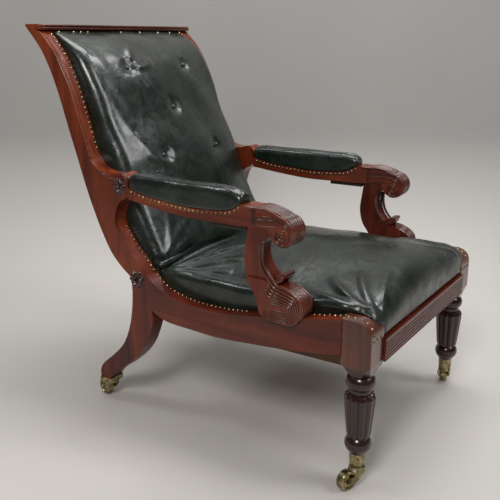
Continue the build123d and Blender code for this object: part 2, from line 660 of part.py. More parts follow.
def knee_rosette():
    """A carved rosette planted over the knee joint."""
    base = Cylinder(ROSETTE_D / 2, ROSETTE_T, align=(Align.CENTER, Align.CENTER, Align.MIN))
    petal = Cylinder(PETAL_D / 2, PETAL_T, align=(Align.CENTER, Align.CENTER, Align.MIN))
    ring_r = (ROSETTE_D - PETAL_D) / 2
    for i in range(PETAL_COUNT):
        base += Rot(0, 0, 360 / PETAL_COUNT * i) * Pos(ring_r, 0, ROSETTE_T) * petal
    boss = Cylinder(ROSETTE_BOSS_D / 2, ROSETTE_BOSS_T, align=(Align.CENTER, Align.CENTER, Align.MIN))
    rosette = base + Pos(0, 0, ROSETTE_T) * boss
    seat = Plane(origin=(-STILE_X, KNEE_Y - ROSETTE_FORWARD, KNEE_Z - ROSETTE_DROP), z_dir=(-1, 0, 0))
    return seat * rosette


def shoulder_leaf():
    """A carved leaf planted on the outside of the shoulder."""
    y, z = NOSE_Y + NOSE_R / 2, ARM_Z + NOSE_RISE + NOSE_H / 2
    half = LEAF_H / 2
    upper = ThreePointArc((y, z), (y + LEAF_LENGTH * 0.35, z + half), (y + LEAF_LENGTH, z + half * 0.2))
    lower = ThreePointArc((y, z), (y + LEAF_LENGTH * 0.35, z - half), (y + LEAF_LENGTH, z - half * 0.2))
    tip = Line((y + LEAF_LENGTH, z + half * 0.2), (y + LEAF_LENGTH, z - half * 0.2))
    return plate(make_face(Curve() + [upper, lower, tip]), -STILE_X - LEAF_T, LEAF_T)


# Seat frame

def side_rail_face(raised=0.0):
    """The side outline of a seat rail, longer than its place at both ends."""
    spans = (-RAIL_RUN, RAIL_RISE)
    top = [(y, z + raised) for y, z in places(RAIL_TOP_SHARES, (RAIL_BACK, RAIL_LOW), spans)]
    bottom = places(RAIL_BOTTOM_SHARES, (RAIL_BACK, RAIL_LOW), spans)
    ahead = (top[-1][0] - OVERRUN, top[-1][1])
    under = (bottom[0][0] - OVERRUN, bottom[0][1])
    behind_low = (bottom[-1][0] + OVERRUN, bottom[-1][1])
    behind_high = (top[0][0] + OVERRUN, top[0][1])
    return outline_face(top, (top[-1], ahead), (ahead, under), (under, bottom[0]), bottom,
                        (bottom[-1], behind_low), (behind_low, behind_high), (behind_high, top[0]))


def side_rail(raised=0.0, widened=0.0):
    """A curved side rail, cut square between the front block and the back leg."""
    bar = splayed(plate(side_rail_face(raised), -STILE_X, RAIL_T + widened))
    room = slab(-FRONT_WIDTH, 0, BLOCK_BACK, RAIL_BACK, 0, HEIGHT)
    return (bar & room) - rear_leg()


def front_seat_rail():
    """The straight rail under the front of the seat, set back behind the blocks."""
    return slab(-BLOCK_INNER, BLOCK_INNER, FRONT_RAIL_Y, FRONT_RAIL_Y + FRONT_RAIL_T,
                WEB_TOP, WEB_TOP + FRONT_RAIL_H)


def rear_seat_rail():
    """The straight rail between the back legs."""
    return slab(-STILE_INNER, STILE_INNER, REAR_RAIL_Y, REAR_RAIL_Y + REAR_RAIL_T,
                WEB_TOP, KNEE_Z + REAR_RAIL_TOP)


def corner_blocks():
    """Two glued blocks in the back corners of the seat frame."""
    corner = (-GUIDE_X, REAR_RAIL_Y)
    points = [corner, (corner[0] + CORNER_BLOCK, corner[1]), (corner[0], corner[1] - CORNER_BLOCK)]
    left = extrude(Pos(0, 0, RAIL_LOW) * make_face(Polyline(*points, close=True)), GUIDE_TOP - RAIL_LOW)
    return Compound([left, right_hand(left)])


# Arms

def arm_point(forward_share, up_share):
    """A place on the straight arm, before it is splayed."""
    return NOSE_Y - forward_share * ARM_REACH, ARM_Z + up_share * ARM_END_T


def arm_face(raised=0.0):
    """The side outline of an arm, from the shoulder to its scrolled end."""
    bottom = [arm_point(*s) for s in ARM_BOTTOM_SHARES]
    top = [(y, z + raised) for y, z in (arm_point(*s) for s in ARM_TOP_SHARES)]
    centre = (NOSE_Y - ARM_REACH + SCROLL_R, ARM_Z + SCROLL_RISE)
    end = radians(SCROLL_END_ANGLE)
    crown = (centre[0], centre[1] + SCROLL_R + raised)
    tail = (centre[0] + SCROLL_R * cos(end), centre[1] + SCROLL_R * sin(end))
    scroll = ThreePointArc(crown, (centre[0] - SCROLL_R, centre[1]), tail)
    edges = [Spline(*bottom), Line(bottom[-1], tail), scroll, Line(crown, top[0]), Spline(*top),
             Line(top[-1], bottom[0])]
    return make_face(Curve() + edges)


def arm():
    """An arm with its scroll, butted on the front of the shoulder."""
    bar = splayed(plate(arm_face(), -STILE_X - ARM_PROUD, ARM_W))
    return bar & slab(-FRONT_WIDTH, 0, -DEPTH / 2, NOSE_Y - FIT_GAP, 0, HEIGHT)


def pad_section(forward_share, height_share, width_share):
    """A D-shaped slice across the arm pad."""
    y, base = arm_point(forward_share, ARM_TOP_SHARES[8][1])
    top = base + PAD_H * height_share
    half = (ARM_W / 2 + PAD_BULGE) * width_share
    side_r = min(PAD_SIDE_R * width_share, half - PAD_BULGE)
    wall = max(top - side_r, base + PAD_BULGE)
    inset = side_r * (1 - cos(pi / 4))
    right = ThreePointArc((half, wall), (half - inset, wall + (top - wall) * sin(pi / 4)), (half - side_r, top))
    crown = ThreePointArc((half - side_r, top), (0, top + PAD_BULGE), (side_r - half, top))
    left = ThreePointArc((side_r - half, top), (inset - half, wall + (top - wall) * sin(pi / 4)), (-half, wall))
    rest = Polyline((-half, wall), (-half, base), (half, base), (half, wall))
    middle = -STILE_X - ARM_PROUD + ARM_W / 2
    return Plane(origin=(middle, y, 0), x_dir=(1, 0, 0), z_dir=(0, -1, 0)) * make_face(
        Curve() + [right, crown, left, rest])


def arm_pad():
    """The stuffed leather pad that lies along the arm."""
    body = loft([pad_section(*s) for s in PAD_SHARES])
    below = plate(arm_face(raised=SOFT_GAP), -STILE_X - ARM_W, 2 * ARM_W)
    return splayed(body - below)


def arm_plate():
    """The iron plate screwed under the arm, behind its support."""
    back, _ = arm_point(SUPPORT_BACK_SHARE, 0)
    middle = -STILE_X - ARM_PROUD + ARM_W / 2
    bar = slab(middle - PLATE_WIDTH / 2, middle + PLATE_WIDTH / 2, back, back + PLATE_LENGTH,
               ARM_Z - PLATE_THICKNESS, ARM_Z + ARM_END_T / 2)
    return splayed(bar - plate(arm_face(), -STILE_X - ARM_W, 2 * ARM_W))


def arm_support():
    """A carved support, lapped over the side rail and housed under the arm."""
    rear, _ = arm_point(SUPPORT_BACK_SHARE, 0)
    foot = BLOCK_TOP - SUPPORT_FOOT_DROP
    spans = (-SUPPORT_SPAN, ARM_Z + SUPPORT_TENON - foot)
    runs = [places(shares, (rear, foot), spans) for shares in (
        SUPPORT_BACK_SHARES, SUPPORT_FOOT_SHARES, SUPPORT_LEAF_SHARES, SUPPORT_FRONT_SHARES)]
    top_front = (runs[3][-1][0], foot + spans[1])
    face = outline_face(*runs, (runs[3][-1], top_front), (top_front, runs[0][0]))
    outer = -STILE_X - ARM_PROUD - SUPPORT_FOOT_PROUD
    step = foot + SUPPORT_STEP_SHARE * spans[1]
    solid = plate(face, outer, SUPPORT_THICK)
    solid -= slab(outer - OVERRUN, outer + SUPPORT_FOOT_PROUD, rear - 2 * SUPPORT_SPAN,
                  rear + OVERRUN, step, HEIGHT)
    solid -= plate(arm_face(), -STILE_X - ARM_W, 2 * ARM_W)
    return splayed(solid) - side_rail()


# Footrest

def footrest_front():
    """The moulded front that pulls out between the front blocks."""
    front, z0 = -DEPTH / 2, FOOTREST_TOP - FOOTREST_FRONT_H
    lap = BLOCK_INNER + FOOTREST_LAP
    inner = BLOCK_INNER - FOOTREST_SIDE_GAP
    face = slab(-lap, lap, front, BLOCK_FRONT - SLIDE_GAP, z0, FOOTREST_TOP)
    body = slab(-inner, inner, front, front + FOOTREST_FRONT_T, z0, FOOTREST_TOP)
    board = face + body
    pitch = FOOTREST_FRONT_H / (FOOTREST_REEDS + 2)
    groove = Rot(0, 90, 0) * Cylinder(FOOTREST_REED_D / 4, FRONT_WIDTH)
    for i in range(FOOTREST_REEDS + 1):
        board -= Pos(0, front, z0 + pitch * (i + 0.5)) * groove
    return board


def footrest_runner():
    """A runner that slides in the guide and carries the front."""
    start = -DEPTH / 2 + FOOTREST_FRONT_T
    bar = slab(-RUNNER_X, -RUNNER_X + RUNNER_T, start, start + RUNNER_LENGTH,
               RUNNER_Z, RUNNER_Z + RUNNER_H)
    return bar


def footrest_board():
    """The board between the runners that carries the leather pad."""
    half = RUNNER_X - RUNNER_T
    start = -DEPTH / 2 + FOOTREST_FRONT_T
    z = RUNNER_Z + BOARD_RISE
    return slab(-half, half, start, start + BOARD_DEPTH, z, z + BOARD_T)


def footrest_pad():
    """The crowned leather pad of the footrest."""
    half = RUNNER_X - RUNNER_T - SOFT_GAP
    start = -DEPTH / 2 + FOOTREST_FRONT_T + SOFT_GAP
    z = RUNNER_Z + BOARD_RISE + BOARD_T + SOFT_GAP
    depth = BOARD_DEPTH - SOFT_GAP
    wall = PAD_REST_H - PAD_REST_CROWN
    pad = slab(-half, half, start, start + depth, z, z + wall)
    shoulder = Pos(0, start + depth / 2, z + wall) * Rectangle(2 * half, depth)
    crown = Pos(0, start + depth / 2, z + PAD_REST_H) * Rectangle(
        2 * half - 2 * PAD_REST_EDGE, depth - 2 * PAD_REST_EDGE)
    return pad + loft([shoulder, crown])


def runner_guide():
    """The grooved guide inside the side rail that holds a runner."""
    x0, x1 = -GUIDE_X, -RUNNER_X - SLIDE_GAP
    end = REAR_RAIL_Y - CORNER_BLOCK
    board = slab(x0, x1, BLOCK_BACK, end, GUIDE_BOTTOM, GUIDE_TOP)
    ledge = slab(x1, x1 + GUIDE_LEDGE_W, BLOCK_BACK, end, GUIDE_BOTTOM, GUIDE_BOTTOM + GUIDE_LEDGE_T)
    top = RUNNER_Z + RUNNER_H + SLIDE_GAP
    keeper = slab(x1, x1 + GUIDE_LEDGE_W, BLOCK_BACK, end, top, top + GUIDE_LEDGE_T)
    return board + ledge + keeper


# Upholstery

def seat_webbing():
    """Webbing laid both ways over the guides and under the cross rails."""
    half, y0, y1 = GUIDE_X - SOFT_GAP, FRONT_RAIL_Y, REAR_RAIL_Y + REAR_RAIL_T
    pitch = WEB_W + WEB_GAP
    across_room = REAR_RAIL_Y - CORNER_BLOCK - (BLOCK_BACK + WEB_GAP)
    across = int(across_room // pitch)
    along = int((2 * BLOCK_INNER - WEB_GAP) // pitch)
    first_x = -(along * pitch - WEB_GAP) / 2
    web = slab(first_x, first_x + WEB_W, y0, y1, GUIDE_TOP, WEB_TOP)
    for i in range(1, along):
        web += slab(first_x + i * pitch, first_x + i * pitch + WEB_W, y0, y1, GUIDE_TOP, WEB_TOP)
    for j in range(across):
        y = BLOCK_BACK + WEB_GAP + j * pitch
        web += slab(-half, half, y, y + WEB_W, GUIDE_TOP, WEB_TOP)
    return web


def spring_places():
    """Where the seat springs stand on plan."""
    middle = (SPRING_COUNT - 1) / 2
    return [((i - middle) * SPRING_PITCH, SPRING_Y + (j - middle) * SPRING_PITCH)
            for i in range(SPRING_COUNT) for j in range(SPRING_COUNT)]


def seat_springs():
    """Coil springs that stand on the webbing."""
    rise = SPRING_H - SPRING_WIRE
    path = Helix(pitch=rise / SPRING_TURNS, height=rise, radius=(SPRING_D - SPRING_WIRE) / 2)
    section = Plane(origin=path @ 0, z_dir=path % 0) * Circle(SPRING_WIRE / 2)
    coil = sweep(section, path=path, is_frenet=True)
    z = WEB_TOP + SPRING_WIRE / 2 + SOFT_GAP
    return Compound([Pos(x, y, z) * coil for x, y in spring_places()])


def pocket_box():
    """Half the width, front, back and top of the room for springs in the seat."""
    reach = (SPRING_COUNT - 1) / 2 * SPRING_PITCH + SPRING_D / 2 + POCKET_MARGIN
    top = WEB_TOP + SPRING_H + 2 * SOFT_GAP + HESSIAN_T
    return reach, SPRING_Y - reach, SPRING_Y + reach, top


def seat_hessian():
    """The canvas that lies over the springs and under the stuffing."""
    half, y0, y1, top = pocket_box()
    return slab(-half + SOFT_GAP, half - SOFT_GAP, y0 + SOFT_GAP, y1 - SOFT_GAP, top - HESSIAN_T, top)


def seat_section(back_share, crown_share, edge_share, width_share):
    """A slice across the seat: flat below, walled at the rails, crowned on top."""
    y = BLOCK_FRONT + back_share * (REAR_RAIL_Y - SOFT_GAP - BLOCK_FRONT)
    frame_w = min(side_x(y) - RAIL_T + SEAT_OVERHANG, SEAT_BLOCK_W)
    half = frame_w * width_share
    crown = BLOCK_TOP + crown_share * SEAT_CROWN
    shoulder = BLOCK_TOP + edge_share * SEAT_CROWN
    wall = shoulder - SEAT_EDGE_R * SEAT_EDGE_H_SHARE
    base = WEB_TOP + SOFT_GAP
    inset = SEAT_EDGE_R * (1 - cos(pi / 4))
    bend = wall + (shoulder - wall) * sin(pi / 4)
    right = ThreePointArc((half, wall), (half - inset, bend), (half - SEAT_EDGE_R, shoulder))
    top = ThreePointArc((half - SEAT_EDGE_R, shoulder), (0, crown), (SEAT_EDGE_R - half, shoulder))
    left = ThreePointArc((SEAT_EDGE_R - half, shoulder), (inset - half, bend), (-half, wall))
    rest = Polyline((-half, wall), (-half, base), (half, base), (half, wall))
    return Plane(origin=(0, y, 0), x_dir=(1, 0, 0), z_dir=(0, -1, 0)) * make_face(
        Curve() + [right, top, left, rest])


def seat_cushion():
    """The stuffed seat, cut to lie on the rails, the blocks and the springs."""
    body = loft([seat_section(*s) for s in SEAT_STATIONS])
    rail = side_rail(raised=SOFT_GAP, widened=SOFT_GAP)
    plan = octagon(BLOCK_Z, BLOCK_W / 2 + SOFT_GAP, BLOCK_D / 2 + SOFT_GAP, BLOCK_CHAMFER)
    side = plate(block_side_face(grown=SOFT_GAP), -BLOCK_W, 2 * BLOCK_W)
    block = extrude(plan, BLOCK_H + SOFT_GAP) & side
    block = Pos(-LEG_X, LEG_Y, 0) * block
    half, y0, y1, top = pocket_box()
    rail_top = WEB_TOP + FRONT_RAIL_H
    for cutter in (rail, right_hand(rail), block, right_hand(block)):
        body -= cutter
    body -= slab(-FRONT_WIDTH, FRONT_WIDTH, -DEPTH, FRONT_RAIL_Y + FRONT_RAIL_T + SOFT_GAP,
                 0, FOOTREST_TOP + APRON_GAP)
    body -= slab(-FRONT_WIDTH, FRONT_WIDTH, FRONT_RAIL_Y - SOFT_GAP,
                 FRONT_RAIL_Y + FRONT_RAIL_T + SOFT_GAP, 0, rail_top + SOFT_GAP)
    body -= slab(-half, half, y0, y1, 0, top + SOFT_GAP)
    leg = slab(-STILE_X, -STILE_X + STILE_T + SOFT_GAP, RAIL_BACK - SOFT_GAP, DEPTH, 0, HEIGHT)
    return body - leg - right_hand(leg)


def back_station(index):
    """One level of the back: height, rear depth, edge depth and front depth."""
    up_share, proud_share = BACK_STATIONS[index]
    z = KNEE_Z + up_share * BACK_RISE
    front = at_height(stile_front_edge(), z)
    edge = front - BACK_EDGE_PROUD * min(1, proud_share * 2)
    return z, front + BACK_SEAT_D, edge, front - BACK_PROUD * proud_share


def stile_front_edge():
    """The line of the stile's front without its shoulder, up to the crest."""
    lower = places(STILE_FRONT_SHARES, (KNEE_Y, KNEE_Z), (BACK_RAKE, BACK_RISE))
    knee, rail_end = joint_line()
    foot = (knee[0] + STILE_FOOT_SHARE * (rail_end[0] - knee[0]), knee[1])
    return Spline(*([foot] + lower + stile_top_front()))


def back_arc_points(index):
    """Half width, shoulder half width and the depths of the arcs at one level."""
    z, rear, edge, front = back_station(index)
    half = STILE_INNER - SOFT_GAP
    shoulder = edge + (front - edge) * 0.6
    return z, rear, edge, front, half, half - BACK_EDGE_R, shoulder


def back_section(index):
    """A level slice of the back: flat behind, rounded edges and a crowned front."""
    z, rear, edge, front, half, inner, shoulder = back_arc_points(index)
    bend_x = inner + BACK_EDGE_R * sin(pi / 4)
    bend_y = shoulder + (edge - shoulder) * (1 - cos(pi / 4))
    right = ThreePointArc((half, edge), (bend_x, bend_y), (inner, shoulder))
    crown = ThreePointArc((inner, shoulder), (0, front), (-inner, shoulder))
    left = ThreePointArc((-inner, shoulder), (-bend_x, bend_y), (-half, edge))
    rest = Polyline((-half, edge), (-half, rear), (half, rear), (half, edge))
    return Pos(0, 0, z) * make_face(Curve() + [right, crown, left, rest])


def tuft_frames():
    """A plane on the cushion's face at each tuft, facing out of it."""
    frames = []
    for across, index in TUFTS:
        z, _, _, front, _, inner, shoulder = back_arc_points(index)
        x = across * STILE_INNER
        sag = front - shoulder
        y = front - sag * (x / inner) ** 2
        lower, upper = back_station(index - 1), back_station(index + 1)
        lean = atan2(upper[3] - lower[3], upper[0] - lower[0])
        frames.append(Plane(origin=(x, y, z), x_dir=(1, 0, 0), z_dir=(0, -cos(lean), sin(lean))))
    return frames


def back_cushion():
    """The stuffed back with its five tufts."""
    body = loft([back_section(i) for i in range(len(BACK_STATIONS))])
    for frame in tuft_frames():
        body -= frame * Pos(0, 0, TUFT_R - TUFT_DEPTH) * Sphere(TUFT_R)
    return body & slab(-STILE_INNER, STILE_INNER, -DEPTH, DEPTH, 0, HEIGHT)


def back_buttons():
    """A covered button at the bottom of each tuft."""
    radius = (BUTTON_D ** 2 / 4 + BUTTON_H ** 2) / (2 * BUTTON_H)
    cap = Pos(0, 0, BUTTON_H - radius) * Sphere(radius)
    cap &= Cylinder(BUTTON_D, BUTTON_H, align=(Align.CENTER, Align.CENTER, Align.MIN))
    sink = TUFT_DEPTH - (TUFT_R - (TUFT_R ** 2 - BUTTON_D ** 2 / 4) ** 0.5) - SOFT_GAP
    return Compound([frame * Pos(0, 0, -sink) * cap for frame in tuft_frames()])


def back_webbing():
    """Webs across the back frame, behind the stuffing."""
    low, high = (back_station(i)[0] for i in WEB_STATIONS)
    pitch = WEB_W + WEB_GAP
    count = int((high - low) // pitch)
    seat = stile_front_edge()
    webs = []
    for i in range(count):
        levels = [low + i * pitch + WEB_W * share for share in (0, 0.5, 1)]
        front = [(at_height(seat, z) + BACK_SEAT_D + STUFFING_GAP, z) for z in levels]
        rear = [(y + WEB_T, z) for y, z in front]
        face = outline_face(front, (front[-1], rear[-1]), rear[::-1], (rear[0], front[0]))
        webs.append(plate(face, -STILE_INNER, 2 * STILE_INNER))
    return Compound(webs)


# Nails

def nail_head():
    """A domed nail head with its flat side on Z = 0."""
    radius = (NAIL_D ** 2 / 4 + NAIL_H ** 2) / (2 * NAIL_H)
    ball = Pos(0, 0, NAIL_H - radius) * Sphere(radius)
    return ball & Cylinder(NAIL_D, NAIL_H, align=(Align.CENTER, Align.CENTER, Align.MIN))


def nail_row(head, edge, x, skip=lambda y, z: False, pitch=NAIL_PITCH):
    """Nail heads along a side-view edge, standing off the wood beside it."""
    count = int(edge.length // pitch)
    row = []
    for i in range(count):
        t = (i + 0.5) / count
        point, along = edge @ t, edge % t
        out = Vector(0, -along.Y, along.X)
        if out.Z < 0:
            out = out * -1
        if skip(point.X, point.Y):
            continue
        seat = Vector(x, point.X, point.Y) + out * NAIL_LIFT
        row.append(Plane(origin=seat, x_dir=(1, 0, 0), z_dir=out) * head)
    return row


def both_sides(heads):
    """The left heads and their mirror images, as one group."""
    return Compound(heads + [right_hand(head) for head in heads])


def seat_nails():
    """Nails along the rails, over the blocks and round their front corners."""
    head = nail_head()
    rail = Spline(*places(RAIL_TOP_SHARES, (RAIL_BACK, RAIL_LOW), (-RAIL_RUN, RAIL_RISE)))
    rear, _ = arm_point(SUPPORT_BACK_SHARE, 0)

    def under_support(y, z):
        return rear - SUPPORT_SPAN - NAIL_D < y < rear + NAIL_D

    x = -STILE_X + RAIL_T - NAIL_INSET
    heads = [splayed(nail) for nail in nail_row(head, rail, x, under_support)]
    block_x = -FRONT_WIDTH / 2 + BLOCK_NAIL_INSET
    front = BLOCK_FRONT
    flat = Line((BLOCK_BACK, BLOCK_TOP), (front + BLOCK_TOP_R, BLOCK_TOP))
    bow = RadiusArc((front, BLOCK_TOP - BLOCK_TOP_R), (front + BLOCK_TOP_R, BLOCK_TOP), BLOCK_TOP_R)
    heads += nail_row(head, flat, block_x) + nail_row(head, bow, block_x)
    z = FOOTREST_TOP + FOOTREST_GAP
    step = (-BLOCK_INNER - block_x) / BLOCK_NAILS
    for i in range(BLOCK_NAILS):
        seat = Vector(block_x + i * step, front - NAIL_LIFT, z)
        heads.append(Plane(origin=seat, x_dir=(1, 0, 0), z_dir=(0, -1, 0)) * head)
    return both_sides(heads)


def back_nails():
    """Nails up the stiles beside the leather, except across the shoulders."""
    head = nail_head()
    x = -STILE_INNER - NAIL_INSET
    lower_points = places(STILE_FRONT_SHARES, (KNEE_Y, KNEE_Z), (BACK_RAKE, BACK_RISE))
    nose_low = ARM_Z + NOSE_RISE
    scotia = places(SCOTIA_SHARES, (NOSE_Y, nose_low - SCOTIA_H), (SCOTIA_REACH, SCOTIA_H))
    knee, rail_end = joint_line()
    foot = (knee[0] + STILE_FOOT_SHARE * (rail_end[0] - knee[0]),
            knee[1] + STILE_FOOT_SHARE * (rail_end[1] - knee[1]))
    upper_points = stile_top_front()

    def on_crest(y, z):
        return z > CREST_Z - NAIL_D

    def in_scotia(y, z):
        return z > scotia[0][1] - NAIL_D

    heads = nail_row(head, Spline(*([foot] + lower_points + [scotia[0]])), x, in_scotia)
    heads += nail_row(head, Spline(*upper_points), x, on_crest)
    return both_sides(heads)


def arm_nails():
    """Nails along both sides of each arm, at the edge of the pad."""
    head = nail_head()
    top = Spline(*[arm_point(*s) for s in ARM_TOP_SHARES])
    count = int(top.length // NAIL_PITCH)
    limit, _ = arm_point(PAD_SHARES[-1][0], 0)
    heads = []
    for i in range(1, count):
        point = top @ (i / count)
        if point.X < limit:
            continue
        z = point.Y - NAIL_INSET
        for x, out in ((-STILE_X - ARM_PROUD, -1), (-STILE_X - ARM_PROUD + ARM_W, 1)):
            seat = Vector(x + out * NAIL_LIFT, point.X, z)
            heads.append(splayed(Plane(origin=seat, x_dir=(0, 1, 0), z_dir=(out, 0, 0)) * head))
    return both_sides(heads)


# The chair

def build():
    """Every piece of the chair by name."""
    pieces = {}
    pairs = {
        "front_leg": front_leg, "rear_leg": rear_leg, "stile": stile, "side_rail": side_rail,
        "knee_rosette": knee_rosette, "shoulder_leaf": shoulder_leaf, "arm": arm,
        "arm_pad": arm_pad, "arm_plate": arm_plate, "arm_support": arm_support,
        "runner_guide": runner_guide, "footrest_runner": footrest_runner,
    }
    for name, make in pairs.items():
        left = make()
        pieces[name + "_left"] = left
        pieces[name + "_right"] = right_hand(left)
    singles = {
        "crest_rail": crest_rail, "lower_back_rail": lower_back_rail,
        "front_seat_rail": front_seat_rail, "rear_seat_rail": rear_seat_rail,
        "corner_blocks": corner_blocks, "outside_back": outside_back,
        "footrest_front": footrest_front, "footrest_board": footrest_board,
        "footrest_pad": footrest_pad, "seat_webbing": seat_webbing,
        "seat_springs": seat_springs, "seat_hessian": seat_hessian,
        "seat_cushion": seat_cushion, "back_cushion": back_cushion,
        "back_webbing": back_webbing, "back_buttons": back_buttons,
        "seat_nails": seat_nails, "back_nails": back_nails, "arm_nails": arm_nails,
    }
    for name, make in singles.items():
        pieces[name] = make()
    for corner, (x, y) in caster_places().items():
        cup = round_cup() if corner.startswith("front") else square_cup()
        turn = Pos(x, y, 0) * Rot(0, 0, CASTER_HEADINGS[corner])
        pieces[corner + "_cup"] = Pos(x, y, 0) * cup
        pieces[corner + "_horn"] = turn * caster_horn()
        pieces[corner + "_axle"] = turn * caster_axle()
        pieces[corner + "_wheel"] = turn * caster_wheel()
    return pieces


os.makedirs("parts", exist_ok=True)
for name, piece in build().items():
    piece.label = name
    export_step(piece, "parts/" + name + ".step")
for corner, (x, y) in caster_places().items():
    heading = radians(CASTER_HEADINGS[corner])
    print(corner, "swivel", round(x, 3), round(y, 3), "axle", round(x + TRAIL * cos(heading), 3),
          round(y + TRAIL * sin(heading), 3), WHEEL_D / 2, "axis",
          round(-sin(heading), 5), round(cos(heading), 5))
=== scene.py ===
"""A library armchair of about 1830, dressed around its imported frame.

The frame gives every rigid piece its place. This script gives those pieces
their finishes, replaces the stuffed ones with leather forms, and adds beads,
carving and brass nails. All lengths are in metres.
"""

from __future__ import annotations

import json
import logging
from collections.abc import Callable
from dataclasses import dataclass
from enum import Enum
from functools import cache
from math import cos, pi, radians, sin

import bmesh
import bpy
import numpy as np
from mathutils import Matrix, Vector
from mathutils.bvhtree import BVHTree
from numpy.typing import NDArray

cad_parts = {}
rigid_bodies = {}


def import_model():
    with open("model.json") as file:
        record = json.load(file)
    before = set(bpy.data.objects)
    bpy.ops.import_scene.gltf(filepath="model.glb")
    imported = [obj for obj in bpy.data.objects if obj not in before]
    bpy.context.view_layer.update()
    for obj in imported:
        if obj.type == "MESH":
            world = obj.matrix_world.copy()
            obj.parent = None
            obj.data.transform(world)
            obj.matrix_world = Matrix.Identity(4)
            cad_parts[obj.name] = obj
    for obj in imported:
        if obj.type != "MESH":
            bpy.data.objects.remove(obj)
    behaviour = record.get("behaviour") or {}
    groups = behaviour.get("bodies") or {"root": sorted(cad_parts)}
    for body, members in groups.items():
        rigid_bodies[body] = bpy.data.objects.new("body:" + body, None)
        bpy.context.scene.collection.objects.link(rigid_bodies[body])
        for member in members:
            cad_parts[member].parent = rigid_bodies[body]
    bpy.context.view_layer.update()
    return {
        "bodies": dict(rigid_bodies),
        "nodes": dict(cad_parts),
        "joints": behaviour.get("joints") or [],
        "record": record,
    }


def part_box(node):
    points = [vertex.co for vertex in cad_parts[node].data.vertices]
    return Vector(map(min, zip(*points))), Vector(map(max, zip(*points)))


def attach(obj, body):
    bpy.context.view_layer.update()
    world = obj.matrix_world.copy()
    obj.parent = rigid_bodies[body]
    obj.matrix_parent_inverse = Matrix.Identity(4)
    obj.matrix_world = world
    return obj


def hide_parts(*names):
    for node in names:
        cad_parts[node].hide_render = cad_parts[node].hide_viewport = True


Array = NDArray[np.float64]
Node = bpy.types.Node
Triple = tuple[float, float, float]
Part = tuple[Array, Array]
Height = Callable[[Array, Array], tuple[Array, Array]]
log = logging.getLogger("armchair")
UP = np.array([0.0, 0.0, 1.0])
BACKWARD = np.array([0.0, 1.0, 0.0])
MIX_A, MIX_B, MIX_OUT = 6, 7, 2
WHITE = (1.0, 1.0, 1.0)
FIGURE_SCALE = 9.0
WAVE_ONE = np.array([37.0, 21.0, 13.0])
WAVE_TWO = np.array([-17.0, 43.0, 29.0])
MERGE_DISTANCE = 1e-6
BEAD_END, BEAD_NEXT = 0.45, 0.85
STILE_FACE = 0.2905


# Curves and meshes


def spline(points: Array, count: int) -> Array:
    """A smooth curve through points, spaced evenly along its length.

    A natural cubic over the chord length: second differences are solved for as
    one linear system, and each span is the usual cubic between its two ends.

    Args:
        points: the points, one a row.
        count: how many points to return.

    Returns:
        The points of the curve.
    """
    pts = np.asarray(points, float)
    chord = np.concatenate([[0.0], np.cumsum(np.linalg.norm(np.diff(pts, axis=0), axis=1))])
    n = len(pts)
    h = np.diff(chord)
    matrix = np.eye(n)
    rhs = np.zeros_like(pts)
    for i in range(1, n - 1):
        matrix[i, i - 1 : i + 2] = h[i - 1], 2 * (h[i - 1] + h[i]), h[i]
        rhs[i] = 6 * ((pts[i + 1] - pts[i]) / h[i] - (pts[i] - pts[i - 1]) / h[i - 1])
    second = np.linalg.solve(matrix, rhs)

    def at(t: Array) -> Array:
        """The cubic's points at chord lengths t."""
        k = np.clip(np.searchsorted(chord, t, side="right") - 1, 0, n - 2)
        a = ((chord[k + 1] - t) / h[k])[:, None]
        b = 1 - a
        bend = ((a**3 - a) * second[k] + (b**3 - b) * second[k + 1]) * (h[k] ** 2)[:, None] / 6
        return a * pts[k] + b * pts[k + 1] + bend

    fine = at(np.linspace(0, chord[-1], 40 * n))
    run = np.concatenate([[0.0], np.cumsum(np.linalg.norm(np.diff(fine, axis=0), axis=1))])
    even = np.linspace(0, run[-1], count)
    return np.stack([np.interp(even, run, fine[:, i]) for i in range(pts.shape[1])], axis=1)


def smooth(low: float, high: float, value: Array) -> Array:
    """A smooth step of value from 0 at low to 1 at high."""
    t = np.clip((value - low) / (high - low), 0, 1)
    return t * t * (3 - 2 * t)


def columns(*values: Array | float) -> Array:
    """Arrays, or single numbers for all, set side by side along a new last axis."""
    return np.stack(np.broadcast_arrays(*values), axis=-1)


def vectors(items: bpy.types.bpy_prop_collection, name: str) -> Array:
    """The vector that each item of a mesh has under a name, one a row."""
    flat = np.empty(len(items) * 3)
    items.foreach_get(name, flat)
    return flat.reshape(-1, 3)


def shade_smooth(mesh: bpy.types.Mesh) -> None:
    """Shades every face of a mesh smoothly."""
    mesh.polygons.foreach_set("use_smooth", np.ones(len(mesh.polygons), bool))
    mesh.update()


def linked(name: str, data: bpy.types.ID) -> bpy.types.Object:
    """A new object that holds some data, linked to the scene."""
    obj = bpy.data.objects.new(name, data)
    bpy.context.scene.collection.objects.link(obj)
    return obj


def mesh_object(name: str, verts: Array, faces: list) -> bpy.types.Object:
    """A smoothly shaded mesh object at the origin.

    Args:
        name: the piece's name.
        verts: points, one a row.
        faces: the vertex numbers of each face.

    Returns:
        The object.
    """
    mesh = bpy.data.meshes.new(name)
    mesh.from_pydata(verts.tolist(), [], faces)
    shade_smooth(mesh)
    return linked(name, mesh)


def settle(obj: bpy.types.Object, finish: bpy.types.Material, body: str = "frame",
           replaced: str = "") -> bpy.types.Object:
    """Gives a piece its finish and its place in the model.

    Args:
        obj: the piece.
        finish: its material.
        body: the body that it moves with.
        replaced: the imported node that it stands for, if any.

    Returns:
        The same piece.
    """
    obj.data.materials.clear()
    obj.data.materials.append(finish)
    if replaced:
        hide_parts(replaced)
    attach(obj, body)
    return obj


